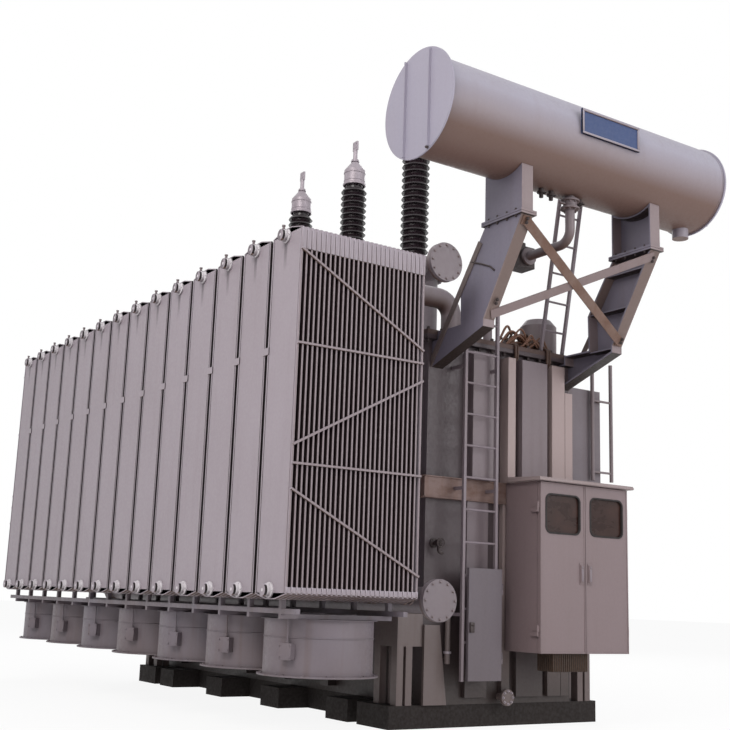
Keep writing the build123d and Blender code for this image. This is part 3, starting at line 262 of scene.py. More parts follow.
def window_glass():
    """Dark window glass with faint smears."""
    material, tree, shader = new_material("window_glass")
    smear = noise(tree, (5, 5, 9), 4)
    smeared = spread(tree, smear, 0.35, 0.75, 0, 1)
    colour = blend_colours(tree, smeared, srgb(40, 21, 17), srgb(58, 36, 30))
    tree.links.new(colour, shader.inputs["Base Color"])
    tree.links.new(spread(tree, smear, 0.3, 0.7, 0.22, 0.4), shader.inputs["Roughness"])
    give(shader, {"Specular IOR Level": 0.25})
    return material


def inside(tree, value, low, high):
    """One while a value lies between two limits, else zero."""
    above = calculate(tree, "GREATER_THAN", value, low)
    return calculate(tree, "MULTIPLY", above, calculate(tree, "LESS_THAN", value, high))


def product(tree, first, *others):
    """Values multiplied."""
    for other in others:
        first = calculate(tree, "MULTIPLY", first, other)
    return first


def tint(material, colour, factor):
    """Lays one more colour over a finish where a factor of its own tree asks for it."""
    tree = material.node_tree
    socket = tree.nodes["Principled BSDF"].inputs["Base Color"]
    under = socket.links[0].from_socket
    tree.links.new(blend_colours(tree, factor(tree), under, srgb(*colour)), socket)


def facing_along(tree, axis):
    """One on faces that look along an axis, either way."""
    return inside(tree, calculate(tree, "ABSOLUTE", facing_on(tree, axis)), 0.6, 2)


def shade_between_fins(tree):
    """Painted shade on the fins' broad faces, which see only each other."""
    across = inside(tree, place_on(tree, "Y"), BANK_OUTER + 0.004, BANK_INNER - 0.03)
    height = inside(tree, place_on(tree, "Z"), FIN_LOW + 0.02, FIN_HIGH - 0.02)
    return product(tree, facing_along(tree, "Y"), across, height)


def within_bank(tree):
    """One between the faces on both ends of the bank, else zero."""
    reach = BANK_REACH - 0.02
    return inside(tree, place_on(tree, "X"), -reach, reach)


def shade_between_radiators(tree):
    """Painted shade on the sides of the radiators in the narrow gaps to their neighbours."""
    return product(tree, facing_along(tree, "X"), within_bank(tree))


def shaded_comb_ends(tree):
    """Painted shade on the fins' narrow ends on both ends of the bank, between the closed bands."""
    outside = spread(tree, within_bank(tree), 0, 1, 1, 0)
    height = inside(tree, place_on(tree, "Z"), FIN_LOW + 0.05, FIN_HIGH - BAND)
    return product(tree, facing_along(tree, "X"), outside, height)


def cap_shadows(tree):
    """A painted shadow under each header cap, tapering down the outer fin."""
    half = RADIATOR_PITCH / 2
    shifted = calculate(tree, "ADD", place_on(tree, "X"), 20 * RADIATOR_PITCH + 0.02)
    turn = calculate(tree, "PINGPONG", shifted, half)
    stripe = spread(tree, turn, half - 0.034, half - 0.014, 0, 1)
    height = spread(tree, place_on(tree, "Z"), FIN_HIGH - 0.32, FIN_HIGH - 0.1, 0, 0.9)
    outer = inside(tree, place_on(tree, "Y"), -9, BANK_OUTER + 0.003)
    return product(tree, outer, stripe, height)


def front_faces(tree):
    """The faces that look towards the near end."""
    return spread(tree, facing_on(tree, "X"), 0.35, 0.6, 0, 0.65)


def narrow_rib_highlights(tree):
    """A painted highlight that makes the narrow ribs of the end walls paler than the wide ones."""
    across = place_on(tree, "Y")
    return calculate(tree, "MAXIMUM", inside(tree, across, -0.02, 0.09), inside(tree, across, 0.55, 0.86))


def near_end_shade(tree):
    """Painted shade on the near end: the end wall, which the arms and the cabinet shade, and the cover's near
    edge.
    """
    return spread(tree, inside(tree, place_on(tree, "X"), NEAR_WALL - 0.002, 9), 0, 1, 0, 0.9)


def low_wall_shade(tree):
    """Painted shade low on the walls: strong near the base, gone above the jacking height."""
    return spread(tree, place_on(tree, "Z"), 0.3, 1.5, 0.9, 0)


def rust_patches(tree):
    """Patches drawn out level, as on the girth band."""
    return spread(tree, noise(tree, (4, 4, 9), 5), 0.48, 0.7, 0, 0.75)


def heavy_rust(tree):
    """Patches over most of a bar."""
    return spread(tree, noise(tree, (5, 5, 5), 5), 0.42, 0.66, 0, 0.8)


# Every painted finish: its colour and its stain, 0 to 255, and what differs from common paint; a colour below
# is painted shade on the faces that look down
FINISHES = {
    "radiator_paint": ((165, 156, 166), (134, 122, 128), dict(amount=0.3, below=(104, 84, 74))),
    "tank_paint": ((112, 103, 109), (84, 70, 68), dict(amount=0.6)),
    "conservator_paint": (
        (157, 153, 166), (140, 130, 134), dict(amount=0.3, below=(106, 82, 74), shade_fade=(0.3, -0.6))
    ),
    "arm_paint": (
        (121, 116, 131), (104, 92, 96), dict(amount=0.4, below=(42, 30, 26), shade_fade=(-0.1, -0.5))
    ),
    "brace_paint": ((128, 108, 104), (104, 72, 54), dict(rough=0.65, amount=0.8, bump=0.3)),
    "cabinet_paint": ((122, 106, 108), (108, 92, 90), dict(amount=0.35)),
    "pipe_paint": ((126, 116, 121), (100, 84, 82), dict(amount=0.45, below=(90, 70, 64))),
    "base_steel": ((34, 25, 23), (25, 18, 16), dict(rough=0.85, amount=0.8, bump=0.4)),
    "porcelain": (
        (32, 21, 27), (20, 12, 15), dict(rough=0.3, amount=0.5, coat=0.1, bump=0.03, edge=0.002)
    ),
    "bright_metal": ((168, 158, 166), (120, 108, 110), dict(rough=0.42, amount=0.5, metal=0.25)),
    "fan_metal": ((114, 107, 116), (92, 72, 64), dict(amount=0.7)),
    "dark_metal": ((58, 46, 46), (42, 30, 27), dict(rough=0.55, amount=0.6)),
    "panel_blue": ((42, 62, 106), (36, 52, 90), dict(amount=0.4)),
    "ladder_paint": ((128, 117, 124), (104, 86, 82), {}),
    "rib_paint": ((120, 108, 113), (96, 80, 78), {}),
    "disc_paint": ((158, 153, 168), (146, 136, 144), dict(amount=0.25)),
    "guard_paint": ((98, 89, 95), (88, 76, 76), dict(amount=0.4)),
    "roof_paint": ((146, 131, 131), (118, 100, 96), dict(amount=0.4)),
    "jack_paint": ((110, 98, 97), (84, 66, 60), dict(amount=0.6)),
    "duct_brown": ((30, 18, 12), (22, 13, 9), dict(rough=0.7, amount=0.6)),
    "duct_ridge": ((58, 36, 18), (34, 21, 12), dict(rough=0.6, amount=0.6)),
    "cable_brown": ((116, 80, 62), (74, 42, 30), dict(amount=0.9)),
    "cable_dark": ((74, 50, 40), (44, 28, 22), dict(amount=0.7)),
    "cover_paint": ((116, 106, 110), (94, 70, 58), dict(rough=0.65, amount=0.7)),
    "brace_rust": ((116, 93, 83), (98, 64, 46), dict(rough=0.65, amount=0.8, bump=0.3)),
    "brace_pale": ((128, 112, 112), (112, 90, 82), dict(rough=0.6)),
    "stay_paint": ((112, 100, 98), (88, 68, 58), dict(rough=0.6, amount=0.7)),
    "cap_metal": (
        (208, 203, 207), (160, 150, 152),
        dict(rough=0.4, amount=0.4, below=(132, 124, 128), shade_fade=(-0.2, -0.8)),
    ),
    "rubber": ((30, 24, 24), (22, 17, 17), dict(rough=0.75, amount=0.4)),
    "blind_paint": ((114, 104, 109), (96, 82, 82), dict(amount=0.35)),
}

# Further colours laid over a finish, and where
TINTS = (
    # painted shadow under the header caps
    ("radiator_paint", (98, 89, 95), cap_shadows),
    # painted shade on the fins' end faces
    ("radiator_paint", (130, 117, 121), shaded_comb_ends),
    # painted shade between the fins
    ("radiator_paint", (48, 36, 38), shade_between_fins),
    # painted shade between the radiators
    ("radiator_paint", (30, 22, 24), shade_between_radiators),
    ("arm_paint", (132, 112, 106), front_faces),
    # painted shade on the near end wall
    ("tank_paint", (66, 54, 57), near_end_shade),
    # painted shade, browner, on the cover's near edge
    ("cover_paint", (78, 58, 52), near_end_shade),
    # painted highlight on the narrow ribs
    ("rib_paint", (158, 140, 138), narrow_rib_highlights),
    # painted shade low on the tank walls and ribs
    ("tank_paint", (42, 30, 26), low_wall_shade),
    ("rib_paint", (42, 30, 26), low_wall_shade),
    ("brace_paint", (92, 62, 48), rust_patches),
    ("brace_rust", (92, 62, 48), heavy_rust),
)

# Nodes that wear a variant of their slot's finish
VARIANTS = {
    "tank_ribs": "rib_paint",
    "tank_cover": "cover_paint",
    "conservator_ends": "disc_paint",
    "guard_door": "guard_paint",
    "cabinet_roof": "roof_paint",
    "jacking_brackets": "jack_paint",
    "corner_buttresses": "jack_paint",
    "cable_duct": "duct_brown",
    "cross_brace_outer": "brace_rust",
    "cross_brace_inner": "brace_pale",
    "arm_stays": "stay_paint",
    "wall_fittings": "jack_paint",
    "manifolds": "blind_paint",
}


def make_finishes():
    """Every finish of the part, by its name."""
    finishes = {"window_glass": window_glass()}
    for name, (colour, stain, values) in FINISHES.items():
        finishes[name] = weathered(name, colour, stain, **values)
    for name, colour, factor in TINTS:
        tint(finishes[name], colour, factor)
    return finishes


def dress_solids(finishes):
    """Gives every shown solid the finish of its slot in the record, or a variant of it."""
    for entry in frame["record"]["subparts"]:
        node = frame["nodes"][entry["node"]]
        node.data.materials.clear()
        node.data.materials.append(finishes[VARIANTS.get(entry["node"], entry["material_slot"])])


# Stage


def new_object(name, data):
    """A new object in the scene."""
    made = bpy.data.objects.new(name, data)
    bpy.context.scene.collection.objects.link(made)
    return made


def make_camera():
    """The camera at the photograph's place, looking slightly up."""
    yaw, pitch, roll = (math.radians(v) for v in (CAMERA_YAW, CAMERA_PITCH, CAMERA_ROLL))
    ahead = Vector((-math.cos(yaw) * math.cos(pitch), math.sin(yaw) * math.cos(pitch), math.sin(pitch)))
    right = ahead.cross(Z).normalized()
    up = right.cross(ahead)
    turned_right = math.cos(roll) * right + math.sin(roll) * up
    turned_up = -math.sin(roll) * right + math.cos(roll) * up
    data = bpy.data.cameras.new("camera")
    data.lens = CAMERA_LENS
    data.sensor_width = 36
    data.clip_end = 200
    camera = new_object("camera", data)
    axes = Matrix((turned_right, turned_up, -ahead)).transposed().to_4x4()
    camera.matrix_world = Matrix.Translation(CAMERA_PLACE) @ axes
    bpy.context.scene.camera = camera


def make_lamp(name, place, target, size, power, colour):
    """A large soft lamp aimed at a point."""
    data = bpy.data.lights.new(name, "AREA")
    data.size = size
    data.energy = power
    data.color = colour
    lamp = new_object(name, data)
    lamp.location = place
    lamp.rotation_mode = "QUATERNION"
    lamp.rotation_quaternion = (Vector(target) - Vector(place)).to_track_quat("-Z", "Y")


def seen_directly(tree):
    """One for rays from the camera, in reflections and through glass, else zero."""
    rays = add(tree, "ShaderNodeLightPath").outputs
    either = calculate(tree, "MAXIMUM", rays["Is Camera Ray"], rays["Is Glossy Ray"])
    return calculate(tree, "MAXIMUM", either, rays["Is Transmission Ray"])


def make_world():
    """A white surround that lights the part softly."""
    world = bpy.data.worlds.new("surround")
    bpy.context.scene.world = world
    world.use_nodes = True
    tree = world.node_tree
    background = tree.nodes["Background"]
    give(background, {"Strength": 1})
    height = spread(tree, axis_value(tree, "ShaderNodeTexCoord", "Generated", "Z"), -0.15, 0.7, 0, 1)
    light = blend_colours(tree, height, (0.22, 0.2, 0.19, 1), (0.62, 0.63, 0.66, 1))
    colour = blend_colours(tree, seen_directly(tree), light, (1, 1, 1, 1))
    tree.links.new(colour, background.inputs["Color"])


def make_floor():
    """A pale floor that stays white to the eye and keeps the part's shadow."""
    material, tree, shader = new_material("floor")
    tone = blend_colours(tree, noise(tree, (0.6, 0.6, 0.6), 3), srgb(240, 238, 236), srgb(246, 245, 244))
    tree.links.new(tone, shader.inputs["Base Color"])
    give(shader, {"Roughness": 0.95})
    glow = add(tree, "ShaderNodeEmission")
    give(glow, {"Color": (1, 1, 1, 1)})
    mix = add(tree, "ShaderNodeMixShader")
    tree.links.new(spread(tree, seen_directly(tree), 0, 1, 0, 0.9), mix.inputs["Fac"])
    tree.links.new(shader.outputs["BSDF"], mix.inputs[1])
    tree.links.new(glow.outputs["Emission"], mix.inputs[2])
    tree.links.new(mix.outputs["Shader"], tree.nodes["Material Output"].inputs["Surface"])
    mesh = bpy.data.meshes.new("floor")
    reach = 90
    corners = [(a * reach, b * reach, 0) for a, b in ((-1, -1), (1, -1), (1, 1), (-1, 1))]
    mesh.from_pydata(corners, [], [(0, 1, 2, 3)])
    mesh.materials.append(material)
    floor = new_object("floor", mesh)


def make_stage():
    """The camera, the surround, the floor and three soft lamps."""
    bpy.context.scene.view_settings.view_transform = "Standard"
    make_camera()
    make_world()
    make_floor()
    make_lamp("key", (9, -13, 12), (0, -1, 2.5), 9, 1500, (1, 0.98, 0.95))
    make_lamp("fill", (15, 5, 6), (2, 0, 2.5), 8, 700, (0.97, 0.98, 1))
    make_lamp("rim", (-10, 9, 11), (0, 0, 3), 8, 900, (1, 1, 1))


# Mesh building


def circle(radius, count, start=0.0):
    """Points spaced evenly on a circle about the origin."""
    angles = [start + 2 * math.pi * i / count for i in range(count)]
    return [(radius * math.cos(a), radius * math.sin(a)) for a in angles]


def collar(inner, outer, thick, edge=0):
    """The profile of a round plate or ring, with softened rims where an edge is given."""
    if not edge:
        return [(inner, 0), (outer, 0), (outer, thick), (inner, thick)]
    rims = [(outer - edge, 0), (outer, edge), (outer, thick - edge), (outer - edge, thick)]
    return [(inner, 0), *rims, (inner, thick)]


def turn_to(axis):
    """The turn that lays +Z along an axis."""
    return Vector(axis).to_track_quat("Z", "Y").to_matrix()


class Piece:
    """Collects the mesh of one piece, then makes it an object that rides on a body."""

    def __init__(self, name):
        self.name = name
        self.mesh = bmesh.new()

    def box(self, low, high, edge=0.004, turn=None, about=None):
        """A box with chamfered edges, optionally turned about a point."""
        low, high = Vector(low), Vector(high)
        size = high - low
        place = Matrix.Translation((low + high) / 2) @ Matrix.Diagonal((*size, 1))
        verts = bmesh.ops.create_cube(self.mesh, size=1, matrix=place)["verts"]
        if min(size) > 2.5 * edge:
            edges = list({e for v in verts for e in v.link_edges})
            faces = bmesh.ops.bevel(
                self.mesh, geom=edges, offset=edge, segments=2, profile=0.5, affect="EDGES"
            )["faces"]
            verts = list({v for f in faces for v in f.verts} | {v for v in verts if v.is_valid})
        if turn is not None:
            bmesh.ops.rotate(self.mesh, verts=verts, cent=about, matrix=turn)

    def skin(self, layers, closed=False):
        """Smooth faces between loops of points, where a loop may be one point; gives the loops back."""
        loops = [[self.mesh.verts.new(p) for p in layer] for layer in layers]
        for below, above in zip(loops, loops[1:] + (loops[:1] if closed else [])):
            count = max(len(below), len(above))
            if count == 1:
                continue
            for i in range(count):
                j = (i + 1) % count
                if len(below) == 1:
                    corners = (below[0], above[i], above[j])
                elif len(above) == 1:
                    corners = (below[i], below[j], above[0])
                else:
                    corners = (below[i], below[j], above[j], above[i])
                self.mesh.faces.new(corners).smooth = True
        return loops

    def lathe(self, profile, origin, axis=Z, sides=64):
        """A surface of revolution from (radius, distance along the axis) pairs."""
        turn, origin = turn_to(axis), Vector(origin)
        layers = []
        for radius, along in profile:
            spots = circle(radius, sides) if radius > 0 else [(0, 0)]
            layers.append([origin + turn @ Vector((*spot, along)) for spot in spots])
        self.skin(layers)

    def tube(self, route, radius, sides=20):
        """A round pipe with closed ends along a route of points."""
        route = [Vector(p) for p in route]
        normal = None
        layers = []
        for i, spot in enumerate(route):
            ahead = route[min(i + 1, len(route) - 1)] - route[max(i - 1, 0)]
            ahead.normalize()
            if normal is None:
                normal = ahead.orthogonal().normalized()
            normal = (normal - ahead * normal.dot(ahead)).normalized()
            across = ahead.cross(normal)
            layers.append([spot + radius * (a * normal + b * across) for a, b in circle(1, sides)])
        loops = self.skin(layers)
        self.mesh.faces.new(loops[0][::-1])
        self.mesh.faces.new(loops[-1])

    def hoop(self, centre, axis, radius, thick, steps=64, sides=8):
        """A round bar bent to a full circle."""
        turn, centre = turn_to(axis), Vector(centre)
        rise = turn @ Z * thick
        layers = []
        for spot in circle(1, steps):
            out = turn @ Vector((*spot, 0))
            layers.append([centre + out * (radius + thick * a) + rise * b for a, b in circle(1, sides)])
        self.skin(layers, closed=True)

    def prism(self, outline, y_low, y_high):
        """A bar along Y with an outline of (x, z) points."""
        near, far = ([self.mesh.verts.new((x, y, z)) for x, z in outline] for y in (y_low, y_high))
        self.mesh.faces.new(near)
        self.mesh.faces.new(far[::-1])
        for i in range(len(outline)):
            j = (i + 1) % len(outline)
            self.mesh.faces.new((near[i], near[j], far[j], far[i]))

    def bolts(self, places, axis, width=0.03, height=0.018):
        """Hexagon heads on round washers."""
        washer = height * 0.22
        head = [(0, 0), (width / 2, 0), (width / 2, height * 0.8), (width * 0.38, height), (0, height)]
        for place in places:
            self.lathe(collar(0, width * 0.72, washer), place, axis, 12)
            self.lathe(head, Vector(place) + Vector(axis) * washer, axis, 6)

    def bolt_ring(self, centre, axis, radius, count, width=0.03, height=0.018, start=0.0):
        """Bolts on a circle."""
        turn, centre = turn_to(axis), Vector(centre)
        places = [centre + turn @ Vector((*spot, 0)) for spot in circle(radius, count, start)]
        self.bolts(places, axis, width, height)

    def done(self, material, slot, body=BODY, replaces=(), sharp=35):
        """Makes the object, sets its finish and lets it ride on its body."""
        bmesh.ops.recalc_face_normals(self.mesh, faces=self.mesh.faces)
        mesh = bpy.data.meshes.new(self.name)
        self.mesh.to_mesh(mesh)
        self.mesh.free()
        mesh.set_sharp_from_angle(angle=math.radians(sharp))
        mesh.materials.append(material)
        piece = new_object(self.name, mesh)
        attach(piece, body)
        if replaces:
            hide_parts(*replaces)


def rounded(points, bend, steps=8):
    """A route whose corners are arcs of the given radius."""
    points = [Vector(p) for p in points]
    route = [points[0]]
    for before, corner, after in zip(points, points[1:], points[2:]):
        back, on = (before - corner).normalized(), (after - corner).normalized()
        half = back.angle(on) / 2
        reach = bend / math.tan(half)
        middle = corner + (back + on).normalized() * (bend / math.sin(half))
        start, stop = corner + back * reach - middle, corner + on * reach - middle
        for i in range(steps + 1):
            route.append(middle + start.slerp(stop, i / steps).normalized() * bend)
    route.append(points[-1])
    return route


def rounded_rectangle(width, height, radius, steps=8):
    """The corners' arcs of a rectangle about the origin, as one loop."""
    loop = []
    for k, (a, b) in enumerate(((1, 1), (-1, 1), (-1, -1), (1, -1))):
        for i in range(steps + 1):
            angle = math.pi / 2 * (k + i / steps)
            across = a * (width / 2 - radius) + radius * math.cos(angle)
            loop.append((across, b * (height / 2 - radius) + radius * math.sin(angle)))
    return loop


# Radiators


def fin_crests(piece):
    """The rolled upper and lower edges of every fin, standing proud of the bands."""
    rise = 0.009
    for x in RADIATORS:
        for y_low, y_high in FINS:
            for edge, peak, way in ((FIN_HIGH, BANK_HIGH, 1), (FIN_LOW, BANK_LOW, -1)):
                foot, crest = edge + way * rise, peak + way * rise
                piece.prism([
                    (x - FIN_HALF, edge), (x - FIN_HALF, foot), (x - SHOULDER_HALF, crest),
                    (x + SHOULDER_HALF, crest), (x + FIN_HALF, foot), (x + FIN_HALF, edge),
                ], y_low, y_high)


def end_fin_ribs(piece):
    """The fins' ends standing proud of the closed bands on both ends of the bank."""
    proud, low_band, over = 0.006, 0.045, 0.004
    for end in (-1, 1):
        face = end * BANK_REACH
        x_low, x_high = sorted((face, face + end * proud))
        for y_low, y_high in FINS:
            piece.box((x_low, y_low, FIN_HIGH - BAND), (x_high, y_high, FIN_HIGH + over), 0.002)
            piece.box((x_low, y_low, FIN_LOW), (x_high, y_high, FIN_LOW + low_band), 0.002)


def fin_seams(piece):
    """The pressed edge seams down both sides of every outer fin."""
    inset, half, proud = 0.022, 0.005, 0.004
    for x in RADIATORS:
        for side in (-1, 1):
            seam = x + side * (FIN_HALF - inset)
            low, high = (seam - half, BANK_OUTER - proud, FIN_LOW), (seam + half, BANK_OUTER, FIN_HIGH)
            piece.box(low, high, 0.0015)


def header_caps(piece):
    """Bright caps with a collar, a rounded face and a plug on the outer header ends."""
    r = HEADER_RADIUS
    profile = [
        (0, 0), (r + 0.012, 0), (r + 0.014, 0.003), (r + 0.014, 0.015), (r + 0.003, 0.02),
        (r + 0.003, 0.044), (r - 0.006, 0.056), (0.02, 0.06), (0.016, 0.063), (0.013, 0.071), (0, 0.072),
    ]
    for x in RADIATORS:
        for z in HEADER_LEVELS:
            piece.lathe(profile, (x, BANK_OUTER, z), -Y, 28)
            piece.bolt_ring((x, BANK_OUTER - 0.015, z), -Y, r + 0.0085, 6, 0.009, 0.006)


def vent_plugs(piece):
    """A vent plug on the top of each outer header end."""
    foot = HEADER_LEVELS[1] + HEADER_RADIUS - 0.004
    profile = [
        (0, 0), (0.016, 0), (0.016, 0.012), (0.011, 0.016), (0.011, 0.03), (0.015, 0.032),
        (0.015, 0.044), (0, 0.048),
    ]
    for x in RADIATORS:
        piece.lathe(profile, (x, HEADER_CAP_FACE + 0.03, foot), Z, 16)


def header_valves(piece):
    """Butterfly valves between the radiators and the manifolds, each between two flanges."""
    thick = 0.02
    for x in RADIATORS:
        for z in HEADER_LEVELS:
            for y in (BANK_INNER + 0.02, BANK_INNER + 0.075):
                piece.lathe(collar(0, 0.082, thick, 0.002), (x, y, z), Y, 24)
                piece.bolt_ring((x, y + thick, z), Y, 0.066, 4, 0.016, 0.01, math.pi / 4)
            piece.lathe(collar(0, 0.058, 0.036), (x, BANK_INNER + 0.04, z), Y, 20)
            lever = (x - 0.008, BANK_INNER + 0.05, z + 0.05)
            piece.box(lever, (x + 0.008, BANK_INNER + 0.066, z + 0.1), 0.003)


def manifold_ends():
    """The middle of each blind flange's face and the way that it looks."""
    face = span("manifolds", 0)[1]
    y = span("manifolds", 1)[1] - BLIND_RADIUS
    z_low, z_high = span("manifolds", 2)
    levels = (z_low + BLIND_RADIUS, z_high - BLIND_RADIUS)
    return [(Vector((end * face, y, z)), end * X) for z in levels for end in (-1, 1)]


def manifold_flanges(piece):
    """Neck flanges behind the blind flanges, with a weld neck on the pipe."""
    r = BLIND_RADIUS
    neck = [
        (0.11, 0), (0.118, 0.02), (0.13, 0.045), (r - 0.003, 0.048), (r, 0.051), (r, 0.072),
        (r - 0.003, 0.075), (0.11, 0.075),
    ]
    for middle, outward in manifold_ends():
        piece.lathe(neck, middle - outward * 0.108, outward, 48)


def manifold_bolts(piece):
    """Bolts round the blind flanges, with their nuts behind."""
    for middle, outward in manifold_ends():
        piece.bolt_ring(middle, outward, 0.152, 12, 0.019, 0.011)
        piece.bolt_ring(middle - outward * 0.063, -outward, 0.148, 12, 0.03, 0.02)


# Fans


def fan_grilles(piece):
    """Wire guards with a hub plate across the open undersides of the fans."""
    z = FAN_LOW + 0.012
    for x in FANS:
        for radius in (0.09, 0.16, 0.23, 0.3, 0.37, 0.432):
            piece.hoop((x, FAN_Y, z), Z, radius, 0.0035, 40, 5)
        middle = Vector((x, FAN_Y, z + 0.006))
        for spoke in circle(1, 8, math.pi / 8):
            way = Vector((*spoke, 0))
            piece.tube([middle + way * 0.06, middle + way * 0.45], 0.004, 6)
        piece.lathe(collar(0, 0.085, 0.01, 0.003), (x, FAN_Y, z - 0.002), Z, 28)


def fan_rims(piece):
    """The rolled edge of each lip, a stiffening bead, a top ring and screws on every shroud."""
    top_ring = collar(FAN_RADIUS - 0.002, FAN_RADIUS + 0.028, 0.005)
    for x in FANS:
        piece.hoop((x, FAN_Y, FAN_LOW + 0.007), Z, FAN_LIP - 0.006, 0.0075, 72, 8)
        piece.hoop((x, FAN_Y, FAN_LOW + 0.3), Z, FAN_RADIUS, 0.006, 72, 6)
        piece.lathe(top_ring, (x, FAN_Y, FAN_HIGH - 0.006), Z, 72)
        for a, b in circle(FAN_RADIUS + 0.022, 12, math.pi / 12):
            piece.bolts([(x + a, FAN_Y + b, FAN_LOW + 0.012)], Z, 0.014, 0.009)


def fan_box_lids(piece):
    """Lids with screws on the terminal boxes, and the glands of their conduits."""
    angle = math.radians(-62)
    out = Vector((math.cos(angle), math.sin(angle), 0))
    across = Vector((-out.y, out.x, 0))
    turn = Matrix((out, across, Z)).transposed()
    nut = [(0, 0), (0.015, 0), (0.015, 0.014), (0.01, 0.02), (0.01, 0.03), (0, 0.03)]
    screws = [(a, b) for a in (-0.044, 0.044) for b in (-0.044, 0.044)]
    for x in FANS:
        middle = Vector((x, FAN_Y, FAN_LOW + 0.195)) + out * (FAN_RADIUS + 0.06)
        low, high = middle - Vector((0.004, 0.056, 0.064)), middle + Vector((0.008, 0.056, 0.064))
        piece.box(low, high, 0.003, turn, middle)
        piece.bolts([middle + out * 0.008 + across * a + Z * b for a, b in screws], out, 0.011, 0.006)
        gland = middle - out * 0.03 + Z * 0.06
        piece.lathe(nut, gland, Z, 14)
        piece.tube([gland + Z * 0.02, gland + Z * (FAN_HIGH - FAN_LOW - 0.23)], 0.007, 8)


# Bushings


def porcelains(piece):
    """The three insulators, with thin drooping sheds on a core."""
    foot, neck, count = 0.095, 0.04, 17
    core, shed = 0.12, 0.15
    top = PORCELAIN_HIGH - PORCELAIN_LOW
    pitch = (top - neck - foot) / count
    profile = [(0, 0), (0.188, 0), (0.19, 0.003), (0.19, 0.045), (0.185, 0.05), (0.135, 0.07), (0.118, foot)]
    for i in range(count):
        z = foot + i * pitch
        profile += [
            (core, z + 0.12 * pitch), (core, z + 0.3 * pitch), (core + 0.012, z + 0.36 * pitch),
            (shed - 0.004, z + 0.3 * pitch), (shed, z + 0.36 * pitch), (shed - 0.003, z + 0.44 * pitch),
            (core + 0.016, z + 0.72 * pitch), (core + 0.004, z + 0.86 * pitch),
        ]
    profile += [(0.09, top - neck), (0.09, top), (0, top)]
    for x in BUSHINGS:
        piece.lathe(profile, (x, BUSHING_Y, PORCELAIN_LOW), Z, 56)


def bushing_fittings(piece):
    """Clamp rings and bolts at both ends of the insulators, and bands on the heads."""
    clamp = [(0.18, 0.03), (0.205, 0.026), (0.21, 0.022), (0.21, 0), (0.18, 0)]
    for x in BUSHINGS:
        foot, head = Vector((x, BUSHING_Y, TURRET_TOP)), Vector((x, BUSHING_Y, PORCELAIN_HIGH))
        piece.lathe(clamp, foot, Z, 56)
        piece.bolt_ring(foot, Z, 0.275, 12, 0.028, 0.02)
        piece.bolt_ring(foot - Z * 0.04, -Z, 0.285, 12, 0.028, 0.02)
        for rise, radius, thick in ((0, 0.134, 0.022), (0.05, 0.126, 0.01), (0.145, 0.128, 0.016)):
            piece.lathe(collar(0.1, radius, thick, 0.003), head + Z * rise, Z, 48)
        piece.bolt_ring(head + Z * 0.161, Z, 0.115, 8, 0.014, 0.01)
        piece.bolt_ring(head + Z * 0.022, Z, 0.126, 8, 0.012, 0.008)
        piece.lathe(collar(0.026, 0.044, 0.02), head + Z * 0.31, Z, 6)
        piece.lathe(collar(0.026, 0.05, 0.008), head + Z * 0.3, Z, 24)


def turret_feet(piece):
    """Foot flanges of the turrets on the cover, and their weld beads."""
    flange = [(0.258, 0), (0.318, 0), (0.32, 0.003), (0.32, 0.023), (0.317, 0.026), (0.258, 0.026)]
    for x in BUSHINGS:
        foot = Vector((x, BUSHING_Y, COVER_TOP))
        piece.lathe(flange, foot, Z, 64)
        piece.bolt_ring(foot + Z * 0.026, Z, 0.295, 16, 0.026, 0.018)
        piece.hoop(foot + Z * 0.03, Z, 0.262, 0.006, 48, 6)


# Conservator


def barrel_seams(piece):
    """Weld beads round both ends of the barrel."""
    for y in (BARREL_NEAR + 0.018, BARREL_FAR - 0.018):
        piece.hoop((BARREL_X, y, BARREL_Z), Y, BARREL_RADIUS + 0.001, 0.006, 96, 6)


def disc_pin(piece):
    """The small pin at the lower end of the near disc's right-hand rib."""
    place = (BARREL_X + 0.157, BARREL_NEAR - 0.014, BARREL_Z - 0.455)
    piece.lathe([(0, 0), (0.012, 0), (0.012, 0.022), (0.008, 0.028), (0, 0.028)], place, -Y, 16)


def panel_frame(piece):
    """The pale frame round the blank panel."""
    (_, y_low, z_low), (front, y_high, z_high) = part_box("name_panel")
    back, width = front - 0.02, 0.022
    front += 0.002
    piece.box((back, y_low, z_high - width), (front, y_high, z_high), 0.003)
    piece.box((back, y_low, z_low), (front, y_high, z_low + width), 0.003)
    for y in (y_low, y_high - width):
        piece.box((back, y, z_low + width), (front, y + width, z_high - width), 0.003)


def joint_bolts(piece):
    """Bolts through the plates between the legs and the saddles."""
    beside = 0.0125
    for y in ARM_PLACES:
        for side in (y - beside, y + ARM_THICK + beside):
            for x in (3.6, 3.72, 3.85, 3.97):
                piece.bolts([(x, side, JOINT_HIGH)], Z, 0.017, 0.016)
                piece.bolts([(x, side, JOINT_LOW)], -Z, 0.017, 0.018)


def brace_bolts(piece):
    """Bolts at the ends of the cross braces, which lie in two layers on the legs."""
    slope = Vector((0.505, 0, 0.85)).normalized()
    facing = Y.cross(slope)
    left, right = ARM_PLACES
    for y, rise, layer in ((left, 0.81, 2), (right, 0.055, 2), (left, 0.152, 1), (right, 0.778, 1)):
        foot = Vector((3.53, y + ARM_THICK / 2, 3.61))
        spot = foot + slope * (rise / slope.z) + facing * 0.012 * layer
        piece.bolts([spot - slope * 0.018, spot + slope * 0.018], facing, 0.024, 0.016)


